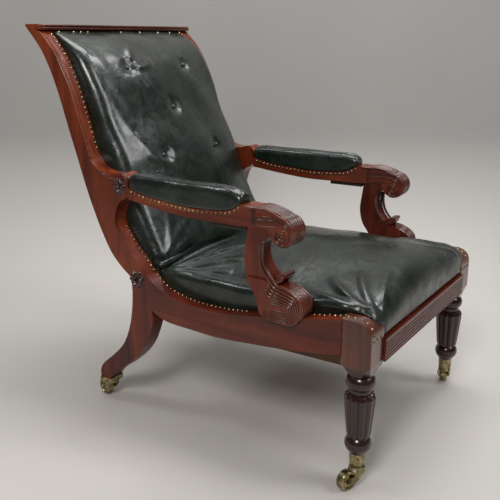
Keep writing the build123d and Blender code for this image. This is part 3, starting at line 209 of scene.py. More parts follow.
def grid_faces(rows: int, cols: int, wrap: bool = False) -> Array:
    """Quads over a grid of vertices.

    Args:
        rows: vertices along the first direction.
        cols: vertices along the second direction.
        wrap: whether the last column joins the first.

    Returns:
        One quad a row.
    """
    number = np.arange(rows * cols).reshape(rows, cols)
    if wrap:
        number = np.concatenate([number, number[:, :1]], axis=1)
    corners = columns(number[:-1, :-1], number[1:, :-1], number[1:, 1:], number[:-1, 1:])
    return corners.reshape(-1, 4)


def sheet_object(name: str, grid: Array, thickness: float, outward: Array) -> bpy.types.Object:
    """A closed skin: a grid of points, a copy of it set back by a thickness, and a rim.

    The copy lies along the grid's own normals, which are the cross products of
    its two directions, turned to agree with outward at the middle.

    Args:
        name: the piece's name.
        grid: points as rows, columns, 3.
        thickness: how far the inner face lies under the outer one.
        outward: which way the outer face looks at the middle of the grid.

    Returns:
        The skin's object.
    """
    rows, cols, _ = grid.shape
    normal = np.cross(np.gradient(grid, axis=0), np.gradient(grid, axis=1))
    normal /= np.linalg.norm(normal, axis=-1, keepdims=True)
    normal *= np.sign(normal[rows // 2, cols // 2] @ outward)
    inner = grid - normal * thickness
    verts = np.concatenate([grid.reshape(-1, 3), inner.reshape(-1, 3)])
    count = rows * cols
    top = grid_faces(rows, cols)
    under = top[:, ::-1] + count
    number = np.arange(count).reshape(rows, cols)
    rim = np.concatenate([number[0], number[1:, -1], number[-1, -2::-1], number[-2:0:-1, 0]])
    after = np.roll(rim, -1)
    edge = columns(rim, after, after + count, rim + count)
    return outward_faces(mesh_object(name, verts, np.concatenate([top, under, edge]).tolist()))


def outward_faces(obj: bpy.types.Object) -> bpy.types.Object:
    """Turns a closed mesh's faces outwards.

    Args:
        obj: the mesh object, whose doubles are merged first.

    Returns:
        The same object.
    """
    work = bmesh.new()
    work.from_mesh(obj.data)
    bmesh.ops.remove_doubles(work, verts=work.verts, dist=MERGE_DISTANCE)
    bmesh.ops.recalc_face_normals(work, faces=work.faces)
    work.to_mesh(obj.data)
    work.free()
    return obj


def frames_along(path: Array, up: Array) -> tuple[Array, Array]:
    """Two cross directions at each point of a path.

    Args:
        path: points of the path.
        up: one direction, or one for each point, that the second cross direction keeps near.

    Returns:
        The sideways and the upward unit directions.
    """
    forward = np.gradient(path, axis=0)
    forward /= np.linalg.norm(forward, axis=1, keepdims=True)
    side = np.cross(forward, np.broadcast_to(up, path.shape))
    side /= np.linalg.norm(side, axis=1, keepdims=True)
    return side, np.cross(side, forward)


def tube(rings: Array, first: Array, last: Array) -> Part:
    """A closed solid of rings of places, with one place that closes each end.

    Args:
        rings: places as rings, places in a ring, 3.
        first: the place that closes the first ring.
        last: the place that closes the last ring.

    Returns:
        Vertices and faces; a triangle is a face that repeats its last number.
    """
    rows, cols, _ = rings.shape
    verts = np.concatenate([rings.reshape(-1, 3), [first], [last]])
    a = np.arange(cols)
    b = (a + 1) % cols
    base = (rows - 1) * cols
    low = columns(rows * cols, a, b, b)
    high = columns(rows * cols + 1, base + b, base + a, base + a)
    return verts, np.concatenate([grid_faces(rows, cols, wrap=True), low, high])


def bead(path: Array, radius: Array | float, up: Array, sides: int = 10) -> Part:
    """A round bead carried along a path, drawn in to a rounded end at both ends.

    Each ring is the centre plus radius times the cosine and the sine in the
    two cross directions.

    Args:
        path: points of the path.
        radius: one radius, or one for each point.
        up: the direction that the bead's height follows.
        sides: points in a ring.

    Returns:
        Vertices and faces.
    """
    side, rise = frames_along(path, up)
    radii = np.broadcast_to(np.asarray(radius, float), len(path)).copy()
    radii[[0, -1]] *= BEAD_END
    radii[[1, -2]] *= BEAD_NEXT
    turn = np.linspace(0, 2 * pi, sides, endpoint=False)
    across = (radii[:, None] * np.cos(turn))[..., None] * side[:, None]
    upward = (radii[:, None] * np.sin(turn))[..., None] * rise[:, None]
    return tube(path[:, None] + across + upward, path[0], path[-1])


def joined(name: str, parts: list[Part]) -> bpy.types.Object:
    """One object from several vertex and face arrays.

    Args:
        name: the piece's name.
        parts: pairs of vertices and faces; a face with a repeated number is a triangle.

    Returns:
        The object.
    """
    verts, faces, start = [], [], 0
    for points, quads in parts:
        verts.append(points)
        faces.extend(tuple(dict.fromkeys((quad + start).tolist())) for quad in quads)
        start += len(points)
    return outward_faces(mesh_object(name, np.concatenate(verts), faces))


def mirrored(part: Part) -> Part:
    """The same vertices and faces on the other side of the chair."""
    verts, faces = part
    return verts * (-1.0, 1.0, 1.0), faces[:, ::-1]


# Finishes


class Grain(Enum):
    """The row axis that a piece's wood grain runs along."""

    ACROSS = 0
    DEEP = 1
    UPRIGHT = 2


class Nodes:
    """A short way to write a material's node tree."""

    def __init__(self, name: str) -> None:
        """Starts a material with only its output and principled shader."""
        self.material = bpy.data.materials.new(name)
        self.material.use_nodes = True
        self.tree = self.material.node_tree
        self.tree.nodes.clear()
        self.output = self.add("ShaderNodeOutputMaterial")
        self.shader = self.add("ShaderNodeBsdfPrincipled")
        self.link(self.shader, "BSDF", self.output, "Surface")
        self.place = self.add("ShaderNodeTexCoord")

    def add(self, kind: str, **values: object) -> Node:
        """A node of a kind, with values for its sockets or properties by name."""
        node = self.tree.nodes.new(kind)
        for key, value in values.items():
            name = key.replace("_", " ")
            if name in node.inputs:
                node.inputs[name].default_value = value
            else:
                setattr(node, key, value)
        return node

    def link(self, a: Node, out: str | int, b: Node, socket: str | int) -> None:
        """Joins one node's output to another's input."""
        self.tree.links.new(a.outputs[out], b.inputs[socket])

    def tint(self, source: Node, b: Node, socket: str | int) -> None:
        """Joins the colour of a ramp or a mix to another node's input."""
        self.link(source, MIX_OUT if source.type == "MIX" else "Color", b, socket)

    def set(self, **values: float) -> None:
        """Gives sockets of the principled shader their values, by name."""
        for key, value in values.items():
            self.shader.inputs[key.replace("_", " ")].default_value = value

    def object_space(self, scale: Triple = (1, 1, 1), turn: Triple = (0, 0, 0)) -> Node:
        """Object coordinates, scaled and turned."""
        mapping = self.add("ShaderNodeMapping", Scale=scale, Rotation=turn)
        self.link(self.place, "Object", mapping, "Vector")
        return mapping

    def noise(self, space: Node, scale: float, detail: float, distortion: float = 0.0) -> Node:
        """Noise read in a space."""
        node = self.add("ShaderNodeTexNoise", Scale=scale, Detail=detail, Distortion=distortion)
        self.link(space, "Vector", node, "Vector")
        return node

    def ramp(self, source: Node, out: str, stops: list[tuple[float, Triple]]) -> Node:
        """A colour ramp over a source's value."""
        node = self.add("ShaderNodeValToRGB")
        while len(node.color_ramp.elements) < len(stops):
            node.color_ramp.elements.new(0.5)
        for element, (position, colour) in zip(node.color_ramp.elements, stops):
            element.position = position
            element.color = (*colour, 1.0)
        self.link(source, out, node, "Fac")
        return node

    def varied(self, noise: Node, low: float, high: float, socket: str) -> None:
        """Lets a value of the principled shader follow a noise from low to high."""
        node = self.add("ShaderNodeMapRange", To_Min=low, To_Max=high)
        self.link(noise, "Fac", node, "Value")
        self.link(node, "Result", self.shader, socket)

    def times(self, amount: float, a: Node, b: Node) -> Node:
        """Two colours multiplied, by an amount."""
        node = self.add("ShaderNodeMix", data_type="RGBA", blend_type="MULTIPLY")
        node.inputs[0].default_value = amount
        self.tint(a, node, MIX_A)
        self.tint(b, node, MIX_B)
        return node

    def raised(self, *layers: tuple[Node, str, float, float]) -> None:
        """Gives the shader bumps, each over the one before.

        Args:
            layers: a source, its output, the bump's strength and its distance.
        """
        under = None
        for source, out, strength, distance in layers:
            node = self.add("ShaderNodeBump", Strength=strength, Distance=distance)
            self.link(source, out, node, "Height")
            if under is not None:
                self.link(under, "Normal", node, "Normal")
            under = node
        self.link(under, "Normal", self.shader, "Normal")


@dataclass(frozen=True)
class Wood:
    """A polished wood: three tones, from the dark figure to the light, under a coat; it may carry painted
    shade.
    """

    name: str
    dark: Triple
    middle: Triple
    light: Triple
    roughness: float = 0.27
    coat: float = 0.55
    coat_roughness: float = 0.12
    # How much painted shade, from ambient occlusion, darkens the hollows.
    painted_recess_shade: float = 0.0
    # The height below which the wood is darkened, as painted shade towards the floor.
    painted_shade_below: float = 0.0

    @cache
    def material(self, grain: Grain) -> bpy.types.Material:
        """The material with its grain along one axis, made once for each axis.

        Args:
            grain: the axis that the grain follows.

        Returns:
            The material.
        """
        nodes = Nodes(f"{self.name}_{grain.name.lower()}")
        stretch = [1.0, 1.0, 1.0]
        stretch[grain.value] = 0.09
        along = nodes.object_space(tuple(stretch))
        broad = nodes.object_space()
        figure = nodes.noise(along, 4 * FIGURE_SCALE, 6, 0.6)
        colour = nodes.ramp(figure, "Fac", [(0.30, self.dark), (0.52, self.middle), (0.74, self.light)])
        cloud = nodes.noise(broad, FIGURE_SCALE, 3)
        shade = nodes.ramp(cloud, "Fac", [(0.3, (0.62, 0.60, 0.60)), (0.7, (1.18, 1.12, 1.08))])
        pores = nodes.noise(along, 900, 3)
        pore_tone = nodes.ramp(pores, "Fac", [(0.38, (0.55, 0.5, 0.5)), (0.5, WHITE)])
        final = nodes.times(0.55, nodes.times(0.75, colour, shade), pore_tone)
        # Painted shade: ambient occlusion darkens the colour in hollows and crevices of the carving and
        # turning, where shade falls.
        if self.painted_recess_shade > 0:
            hollow = nodes.add("ShaderNodeAmbientOcclusion", samples=6, Distance=0.006)
            painted_shade = nodes.ramp(hollow, "AO", [(0.35, (0.10, 0.06, 0.05)), (0.95, WHITE)])
            final = nodes.times(self.painted_recess_shade, final, painted_shade)
        if self.painted_shade_below > 0:
            final = self.deepened(nodes, final)
        nodes.tint(final, nodes.shader, "Base Color")
        nodes.varied(cloud, self.roughness * 0.75, self.roughness * 1.3, "Roughness")
        nodes.raised((pores, "Fac", 0.12, 0.0002), (figure, "Fac", 0.10, 0.0006))
        nodes.set(Specular_IOR_Level=0.34, Coat_Weight=self.coat, Coat_Roughness=self.coat_roughness)
        return nodes.material

    def deepened(self, nodes: Nodes, colour: Node) -> Node:
        """The colour, made darker and more purple below a height, as painted shade towards the floor.

        Args:
            nodes: the material's nodes.
            colour: the mix that makes the colour.

        Returns:
            The mix that makes the deepened colour.
        """
        parts = nodes.add("ShaderNodeSeparateXYZ")
        nodes.link(nodes.place, "Object", parts, "Vector")
        bounds = {"From_Min": self.painted_shade_below - 0.012, "From_Max": self.painted_shade_below + 0.004}
        height = nodes.add("ShaderNodeMapRange", **bounds)
        nodes.link(parts, "Z", height, "Value")
        depth = nodes.ramp(height, "Result", [(0.0, (0.26, 0.24, 0.36)), (1.0, WHITE)])
        return nodes.times(1.0, colour, depth)


@dataclass(frozen=True)
class Leather:
    """A waxed hide: mottled colour, worn lighter in places, with a fine creased grain."""

    name: str
    deep: Triple
    main: Triple
    worn: Triple
    roughness: float = 0.25
    coat: float = 0.30

    @cache
    def material(self) -> bpy.types.Material:
        """The leather's material, made once."""
        nodes = Nodes(self.name)
        space = nodes.object_space()
        mottle = nodes.noise(space, 12, 7, 0.8)
        colour = nodes.ramp(mottle, "Fac", [(0.36, self.deep), (0.57, self.main), (0.80, self.worn)])
        streaks = nodes.noise(nodes.object_space((1.0, 0.35, 1.0), (0.2, 0.1, 0.7)), 60, 6, 1.2)
        tone = nodes.ramp(streaks, "Fac", [(0.35, (0.72, 0.75, 0.74)), (0.65, (1.20, 1.18, 1.16))])
        nodes.tint(nodes.times(0.8, colour, tone), nodes.shader, "Base Color")
        rub = nodes.noise(space, 26, 8, 1.5)
        nodes.varied(rub, self.roughness * 0.25, self.roughness * 2.1, "Roughness")
        pebble = nodes.add("ShaderNodeTexVoronoi", Scale=420.0, feature="DISTANCE_TO_EDGE")
        nodes.link(space, "Vector", pebble, "Vector")
        crease = nodes.noise(space, 55, 6, 2.0)
        pucker = nodes.noise(space, 24, 4, 1.4)
        soft = nodes.noise(space, 9, 3, 0.6)
        nodes.raised((pebble, "Distance", 0.10, 0.0003), (crease, "Fac", 0.20, 0.0012),
                     (pucker, "Fac", 0.25, 0.0030), (soft, "Fac", 0.42, 0.0070))
        nodes.varied(mottle, -0.4 * self.coat, 2.2 * self.coat, "Coat Weight")
        nodes.set(Coat_Roughness=0.14)
        return nodes.material


@dataclass(frozen=True)
class Metal:
    """An old metal: a bright colour under darker tarnish."""

    name: str
    bright: Triple
    tarnish: Triple
    roughness: float
    scale: float

    @cache
    def material(self) -> bpy.types.Material:
        """The metal's material, made once."""
        nodes = Nodes(self.name)
        space = nodes.object_space()
        stain = nodes.noise(space, self.scale, 5, 0.5)
        colour = nodes.ramp(stain, "Fac", [(0.36, self.tarnish), (0.62, self.bright)])
        nodes.tint(colour, nodes.shader, "Base Color")
        nodes.varied(stain, self.roughness * 1.6, self.roughness * 0.6, "Roughness")
        nodes.raised((nodes.noise(space, 700, 3), "Fac", 0.08, 0.0002))
        nodes.set(Metallic=1.0)
        return nodes.material


# Reading the frame's solids


class Skin:
    """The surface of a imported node, read by rays and as a mesh."""

    def __init__(self, node: bpy.types.Object) -> None:
        """Makes a search tree over the node's faces."""
        points = vectors(node.data.vertices, "co").tolist()
        self.tree = BVHTree.FromPolygons(points, [tuple(face.vertices) for face in node.data.polygons])

    def hits(self, origins: Array, ways: Array) -> Array:
        """Where rays first meet the surface.

        Args:
            origins: where the rays start, one a row, or one place for all.
            ways: the way that they all go, or one way a row.

        Returns:
            The places that were met, in order, without those of rays that missed.
        """
        rays = zip(*np.broadcast_arrays(origins, ways))
        found = [self.tree.ray_cast(Vector(start), Vector(way))[0] for start, way in rays]
        return np.array([tuple(place) for place in found if place is not None])

    def seen(self, x: Array | float, z: Array | float) -> Array:
        """Where level rays from the front first meet the surface.

        Args:
            x: where across the chair, one each, or one for all rays.
            z: how high, in the same way; one of the two is an array.

        Returns:
            The places that were met.
        """
        return self.hits(columns(x, -1.0, z), BACKWARD)


# Leather


@dataclass(frozen=True)
class Fold:
    """A soft ridge or crease over a form, from one place to another on its own plane."""

    start: tuple[float, float]
    end: tuple[float, float]
    height: float
    width: float
    bow: float = 0.0

    def rise(self, plan: Array) -> Array:
        """How far the fold lifts each place on the plane.

        The fold's middle line is a straight line with a bow of four t times one
        minus t. Across it the height falls as a bell, and along it as the square
        root of the same product, so that both ends die out.

        Args:
            plan: places on the plane, one a row.

        Returns:
            The heights.
        """
        a, b = np.array(self.start), np.array(self.end)
        way = b - a
        length = float(np.linalg.norm(way))
        way = way / length
        across = np.array([-way[1], way[0]])
        off = plan - a
        t = off @ way / length
        inside = np.clip(t, 0, 1)
        hump = 4 * inside * (1 - inside)
        distance = off @ across - self.bow * hump
        along = np.where((t > 0) & (t < 1), np.sqrt(hump), 0)
        return self.height * along * np.exp(-((distance / self.width) ** 2))

    def other_side(self) -> Fold:
        """The same fold, mirrored across the middle of the chair."""
        (x0, y0), (x1, y1) = self.start, self.end
        return Fold((-x0, y0), (-x1, y1), self.height, self.width, -self.bow)


def other_sides(folds: tuple[Fold, ...]) -> tuple[Fold, ...]:
    """The mirror images of folds."""
    return tuple(fold.other_side() for fold in folds)


@dataclass(frozen=True)
class Tuft:
    """A buttoned dimple with creases that run out from it."""

    place: tuple[float, float]
    depth: float
    reach: float
    creases: int
    crease_depth: float
    turn: float = 0.0

    def rise(self, plan: Array) -> Array:
        """How far the tuft lifts each place; below zero is a hollow.

        Args:
            plan: places on the plane, one a row.

        Returns:
            The heights: a bell-shaped hollow, and creases that are the fourth
            power of a cosine of the angle, fading with distance from the button.
        """
        off = plan - np.array(self.place)
        distance = np.linalg.norm(off, axis=1)
        angle = np.arctan2(off[:, 1], off[:, 0]) + self.turn
        hollow = -self.depth * np.exp(-((distance / self.reach) ** 2))
        ray = np.cos(angle * self.creases / 2) ** 8
        fade = np.exp(-distance / (1.3 * self.reach)) * smooth(0.004, 0.014, distance)
        return hollow - self.crease_depth * ray * fade


@dataclass(frozen=True)
class Form:
    """A stuffed form: the solid that it covers, and how its leather lies."""

    node: str
    body: str
    plane: tuple[int, int]
    facing: Triple
    voxel: float
    relax: int
    marks: tuple[Fold | Tuft, ...] = ()
    swell: float = 0.0
    unevenness: float = 0.0006
    fill: float = 0.6

    @property
    def toward(self) -> Array:
        """The unit direction that the form faces."""
        return np.array(self.facing) / np.linalg.norm(self.facing)

    def rise(self, points: Array, normals: Array) -> Array:
        """How far each place moves along its normal.

        Folds and tufts count only on the side that the form faces, by a smooth
        step of the cosine between the normal and the facing, and so do a gentle
        swell and a slight unevenness, which is the sum of two sines.

        Args:
            points: places on the form, one a row.
            normals: their normals.

        Returns:
            The distances.
        """
        front = normals @ self.toward
        rise = np.zeros(len(points))
        for mark in self.marks:
            rise += mark.rise(points[:, list(self.plane)])
        rise = rise * smooth(-0.1, 0.55, front) + self.swell * smooth(0.2, 0.9, front)
        wave = np.sin(points @ WAVE_ONE) + np.sin(points @ WAVE_TWO + 1.3)
        return rise + self.unevenness * wave * smooth(-0.5, 0.5, front)


class Upholstery:
    """Leather forms made over the frame's stuffed solids."""

    ROLL_HALF = 0.2492
    ROLL_IN = 0.0105
    ROLL_HEIGHT = 0.3855
    ROLL_RISE = 0.013
    ROLL_RADIUS = 0.0115
    HIDE = 0.002
    BACK_SWELL = 0.0025

    def __init__(self, frame: dict, leather: Leather) -> None:
        """Keeps the frame and the leather."""
        self.nodes = frame["nodes"]
        self.leather = leather.material()

    def relaxed(self, form: Form) -> bpy.types.Mesh:
        """The form's solid as an even, softened mesh.

        Args:
            form: the form.

        Returns:
            A new mesh.
        """
        rough = linked(form.node + "_rough", self.nodes[form.node].data.copy())
        remesh = rough.modifiers.new("even", "REMESH")
        remesh.mode = "VOXEL"
        remesh.voxel_size = form.voxel
        soften = rough.modifiers.new("soften", "SMOOTH")
        soften.factor = 0.5
        soften.iterations = form.relax
        bpy.context.view_layer.update()
        mesh = bpy.data.meshes.new_from_object(rough.evaluated_get(bpy.context.evaluated_depsgraph_get()))
        bpy.data.objects.remove(rough)
        return mesh

    def build(self, form: Form) -> None:
        """Makes one leather form, which replaces its solid.

        Args:
            form: the form.
        """
        mesh = self.relaxed(form)
        points, normals = vectors(mesh.vertices, "co"), vectors(mesh.vertex_normals, "vector")
        points = points + normals * form.rise(points, normals)[:, None]
        mesh.vertices.foreach_set("co", points.ravel())
        shade_smooth(mesh)
        obj = settle(linked(form.node + "_leather", mesh), self.leather, form.body, form.node)
        log.info("%s has %d vertices", obj.name, len(points))

    def joint_roll(self) -> None:
        """The soft roll where the back's leather turns under, behind the seat.

        The roll rises toward the middle by one minus the square of the share of
        the way to a stile.
        """
        share = np.linspace(-1, 1, 161)
        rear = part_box("seat_cushion")[1][1]
        height = self.ROLL_HEIGHT + self.ROLL_RISE * (1 - share**2)
        path = columns(self.ROLL_HALF * share, rear - self.ROLL_IN, height)
        roll = bead(path, self.ROLL_RADIUS - 0.002 * share**4, UP, 14)
        settle(joined("joint_roll", [roll]), self.leather)

    def outside_back(self) -> None:
        """The leather stretched over the back of the frame, a little proud in the middle."""
        low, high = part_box("outside_back")
        heights = np.linspace(low[2] + 0.004, high[2] - 0.003, 70)
        line = Skin(self.nodes["outside_back"]).hits(columns(0.0, 1.0, heights), -BACKWARD)
        across = np.linspace(low[0], high[0], 60)
        bulge = 1 - (across / high[0]) ** 4
        swell = self.BACK_SWELL * bulge * np.sin(np.linspace(0, pi, len(line)))[:, None] ** 0.5
        grid = columns(across, line[:, None, 1] + swell, line[:, None, 2])
        obj = sheet_object("outside_back_leather", grid, self.HIDE, BACKWARD)
        settle(obj, self.leather, replaced="outside_back")


# Carving and mouldings


class Joiner:
    """Beads, mouldings and carving laid on the wooden frame."""

    def __init__(self, frame: dict, finishes: Finishes) -> None:
        """Keeps the frame's nodes and the finishes."""
        self.nodes = frame["nodes"]
        self.finishes = finishes

    def place(self, name: str, parts: list[Part], grain: Grain, replaced: str = "",
              wood: Wood | None = None) -> None:
        """One wooden piece on the left and the same one on the right.

        Args:
            name: the pieces' name, without the side.
            parts: vertices and faces of the left one.
            grain: the way that its grain runs.
            replaced: the name, without the side, of the node that it stands for, if any.
            wood: its finish, the carved one if none is given.
        """
        finish = (wood or self.finishes.carved).material(grain)
        for side, chosen in (("left", parts), ("right", [mirrored(part) for part in parts])):
            node = f"{replaced}_{side}" if replaced else ""
            settle(joined(f"{name}_{side}", chosen), finish, replaced=node)

    def stile_beads(self) -> None:
        """Fine beads up the front of each stile, beside the nails."""
        skin = Skin(self.nodes["stile_left"])
        parts = []
        for x, radius in ((-0.2885, 0.0030), (-0.2820, 0.0019), (-0.2770, 0.0019), (-0.2630, 0.0015)):
            path = skin.seen(x, np.linspace(0.640, 0.938, 90))
            parts.append(bead(spline(path, 90), radius, np.array([0.0, -1.0, 0.4])))
        # Painted light: the beads take the lighter copy of mahogany.
        self.place("stile_beads", parts, Grain.UPRIGHT, wood=self.finishes.painted_lit)

    def crest_beads(self) -> None:
        """The crest's thin moulding: two beads along its front."""
        skin = Skin(self.nodes["crest_rail"])
        parts = []
        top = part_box("crest_rail")[1][2]
        for drop, radius in ((0.0030, 0.0027), (0.0092, 0.0021)):
            parts.append(bead(skin.seen(np.linspace(-STILE_FACE, STILE_FACE, 40), top - drop), radius, UP))
        settle(joined("crest_beads", parts), self.finishes.carved.material(Grain.ACROSS))


# The side planes that carry the carving


@dataclass(frozen=True)
class Slab:
    """A piece between two splayed side planes, on the left of the chair.

    A place on it is its depth, its height and how far in it lies from the
    outer plane. The planes turn about an upright line by the splay.
    """

    outer: float
    thickness: float
    pivot: float = 0.118
    splay: float = radians(2.4)

    def points(self, depth: Array, height: Array, inward: Array | float) -> Array:
        """Places in the chair's frame.

        Args:
            depth: the y of each place before it is splayed.
            height: the z of each place.
            inward: the distance in from the outer plane.

        Returns:
            The places, one a row.
        """
        run = self.pivot - depth
        x = -self.outer - run * sin(self.splay) + inward * cos(self.splay)
        y = self.pivot - run * cos(self.splay) - inward * sin(self.splay)
        return columns(x, y, height)

    def outward(self) -> Array:
        """The way that the outer plane faces."""
        return np.array([-cos(self.splay), sin(self.splay), 0.0])


class Carver(Joiner):
    """The carving on the arms, their supports, the shoulders and the knees.

    RIDGES has the lead, the start, the shrink, the quarters and the radius of
    each ridge on an arm. FOOT_RIM, FOOT_SLOT, NECK and LEAF have the y and the
    height over its foot of places on a support, and SHARES has where the foot's
    lines lie between rim and slot.
    """

    ARM = Slab(outer=0.296, thickness=0.044)
    SUPPORT = Slab(outer=0.302, thickness=0.044)
    REED_RADIUS = 0.0036
    BOSS_FACE, BOSS_RIM = 0.2918, 0.2906
    SHARES = (0.0, 0.19, 0.37, 0.54, 0.70, 0.85, 1.0)
    RIDGES = (
        (((0.0945, 0.0490), (0.0760, 0.0480), (0.0530, 0.0488), (0.0200, 0.0435)),
         0.0355, 0.780, 3.4, 0.0029),
        (((0.0620, 0.0240), (0.0430, 0.0255), (0.0200, 0.0275)), 0.0235, 0.680, 5.5, 0.0023),
        (((0.0620, 0.0320), (0.0430, 0.0340), (0.0180, 0.0330)), 0.0290, 0.735, 3.6, 0.0014),
        (((0.0620, 0.0110), (0.0380, 0.0130), (0.0160, 0.0140)), 0.0125, 0.700, 3.0, 0.0015),
    )
    FOOT_RIM = (
        (-0.2600, 0.0842), (-0.2720, 0.0822), (-0.2870, 0.0780), (-0.2990, 0.0725), (-0.3090, 0.0650),
        (-0.3150, 0.0555), (-0.3165, 0.0460), (-0.3160, 0.0350), (-0.3120, 0.0225), (-0.3045, 0.0120),
        (-0.2930, 0.0055), (-0.2750, 0.0032), (-0.2560, 0.0036), (-0.2360, 0.0068), (-0.2200, 0.0120),
    )
    FOOT_SLOT = (
        (-0.2400, 0.0395), (-0.2500, 0.0405), (-0.2600, 0.0410), (-0.2700, 0.0410), (-0.2800, 0.0402),
        (-0.2860, 0.0385), (-0.2880, 0.0360), (-0.2875, 0.0330), (-0.2840, 0.0305), (-0.2780, 0.0290),
        (-0.2700, 0.0280), (-0.2620, 0.0275), (-0.2540, 0.0275), (-0.2460, 0.0278), (-0.2390, 0.0285),
    )
    NECK = (
        (-0.2245, 0.1750), (-0.2225, 0.1600), (-0.2225, 0.1450), (-0.2250, 0.1300), (-0.2310, 0.1160),
        (-0.2400, 0.1040), (-0.2500, 0.0930),
    )
    LEAF = ((-0.2440, 0.0880), (-0.2520, 0.0895), (-0.2610, 0.0930), (-0.2675, 0.0985), (-0.2700, 0.1050))

    def volute(self, eye: Array, lead: Array, start: float, shrink: float, quarters: float) -> Array:
        """A line that leads in and then winds into a scroll's eye.

        Its distance from the eye is start times shrink to the power of the
        quarter turns made. The winding starts above the eye and turns forward.

        Args:
            eye: the eye's y and z.
            lead: the y and z of the places before the winding.
            start: the distance from the eye where the winding starts.
            shrink: the share of the distance that is left after a quarter turn.
            quarters: how many quarter turns the line makes.

        Returns:
            The y and z of places along the line.
        """
        turned = np.linspace(0, quarters, int(14 * quarters))
        angle = pi / 2 * (1 + turned)
        reach = start * shrink**turned
        wind = eye + columns(reach * np.cos(angle), reach * np.sin(angle))
        return spline(np.concatenate([lead, wind]), 130)

    def on_faces(self, slab: Slab, line: Array, radius: Array | float) -> list[Part]:
        """Beads along a line on a slab's outer face and on its inner one."""
        depths = (0.0, slab.thickness)
        return [bead(slab.points(*line.T, depth), radius, slab.outward()) for depth in depths]

    def round_edge(self, slab: Slab, node: str, eye: Array, start: float, end: float) -> Array:
        """A piece's edge as seen from a place inside it.

        Args:
            slab: the slab that the piece lies in.
            node: the piece.
            eye: the y and z of the place inside.
            start: the first angle in degrees, from the back and over the top.
            end: the last angle.

        Returns:
            The y and z of places on the edge.
        """
        angle = np.radians(np.linspace(start, end, 60))
        middle = slab.points(*eye[:, None], slab.thickness / 2)
        ways = columns(0.0, np.cos(angle), np.sin(angle))
        return Skin(self.nodes[node]).hits(middle, ways)[:, 1:]

    def over_edge(self, slab: Slab, line: Array, count: int, radius: float) -> list[Part]:
        """Beads side by side over a slab's edge, all following one line."""
        parts = []
        middle = line.mean(axis=0)
        for i in range(count):
            inward = (i + 0.5) * slab.thickness / count
            path = slab.points(*line.T, inward)
            out = path - slab.points(*middle, inward)
            out /= np.linalg.norm(out, axis=1, keepdims=True)
            parts.append(bead(path - 0.35 * radius * out, radius, out))
        return parts

    def arm_scrolls(self) -> None:
        """Ridges that wind into each scrolled end, three flutes behind them, and reeds over the front."""
        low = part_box("arm_left")[0]
        eye = np.array([low[1] + 0.0325, low[2] + 0.0245])
        parts = []
        for lead, start, shrink, quarters, radius in self.RIDGES:
            line = self.volute(eye, eye + np.array(lead), start, shrink, quarters)
            parts += self.on_faces(self.ARM, line, radius)
        for back, radius in ((0.0665, 0.0019), (0.0705, 0.0013), (0.0745, 0.0019)):
            line = eye + columns(back, np.linspace(0.0110, 0.0475, 20))
            parts += self.on_faces(self.ARM, line, radius)
        self.place("arm_scroll", parts, Grain.DEEP)
        rim = self.round_edge(self.ARM, "arm_left", eye, 38, 300)
        self.place("arm_reeds", self.over_edge(self.ARM, spline(rim, 110), 6, self.REED_RADIUS), Grain.DEEP)

    def support_feet(self) -> None:
        """Nested lines on each foot scroll, led in from ridges down the neck, and reeds over its front.

        The lines lie at even shares between the foot's rim and a slot in its
        middle. A line is as thick as the room that it has, wide above and
        narrow below.
        """
        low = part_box("arm_support_left")[0]
        base = np.array([0.0, low[2]])
        rim, slot, neck = np.array(self.FOOT_RIM), np.array(self.FOOT_SLOT), np.array(self.NECK)
        parts = []
        for i, share in enumerate(self.SHARES):
            loop = rim + (slot - rim) * share
            if i < 2:
                lead = neck + np.array([0.0065, -0.006]) * i
            elif i < 5:
                lead = loop[:1] + np.array([(0.0150, 0.0200), (0.0110, 0.0085)])
            else:
                lead = loop[:0]
            line = spline(np.concatenate([lead, loop]), 130)
            room = np.interp(line[:, 1], [0.0, 0.030, 0.040, 0.085], [0.0019, 0.0018, 0.0024, 0.0034])
            parts += self.on_faces(self.SUPPORT, line + base, room)[:1]
        self.place("support_foot", parts, Grain.UPRIGHT)
        heart = base + np.array([-0.2750, 0.0420])
        edge = self.round_edge(self.SUPPORT, "arm_support_left", heart, 100, 245)
        reeds = self.over_edge(self.SUPPORT, spline(edge, 90), 6, self.REED_RADIUS)
        self.place("support_reeds", reeds, Grain.UPRIGHT)

    def support_leaves(self) -> None:
        """The curled leaf in the notch of each support, with its veins."""
        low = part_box("arm_support_left")[0]
        spine = spline(np.array(self.LEAF), 40)
        widths = 0.0048 * np.sin(np.linspace(0.5, pi - 0.35, 40)) + 0.0012
        parts = []
        for inward in np.linspace(0.004, 0.040, 7):
            lift = 0.003 * cos((inward - 0.022) / 0.018 * pi / 2)
            path = self.SUPPORT.points(spine[:, 0], spine[:, 1] + lift + low[2], inward)
            parts.append(bead(path, widths, UP))
        self.place("support_leaf", parts, Grain.DEEP)

    def relief(self, name: str, node: str, size: float, height: Height) -> None:
        """A round carved boss on the outer side of the frame, in the place of a plain one.

        Args:
            name: the piece's name, without its side.
            node: the plain boss's name, without its side.
            size: the boss's radius.
            height: its rise and its edge's share of the radius, from the share
                of the radius and the angle.
        """
        low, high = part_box(f"{node}_left")
        reach = np.linspace(0, 1, 40)[:, None]
        angle = np.linspace(0, 2 * pi, 120, endpoint=False)[None, :]
        rise, swell = height(reach, angle)
        y = (low[1] + high[1]) / 2 + size * reach * swell * np.cos(angle)
        z = (low[2] + high[2]) / 2 + size * reach * swell * np.sin(angle)
        front = columns(-self.BOSS_FACE - rise, y, z)
        rim = columns(-self.BOSS_RIM, front[-1, :, 1], front[-1, :, 2])
        part = tube(np.concatenate([front[1:], rim[None]]), front[0, 0], rim.mean(axis=0))
        self.place(name, [part], Grain.UPRIGHT, node, self.finishes.boss)

    def rosettes(self) -> None:
        """Rosettes over the joints between the stiles, rails and back legs."""

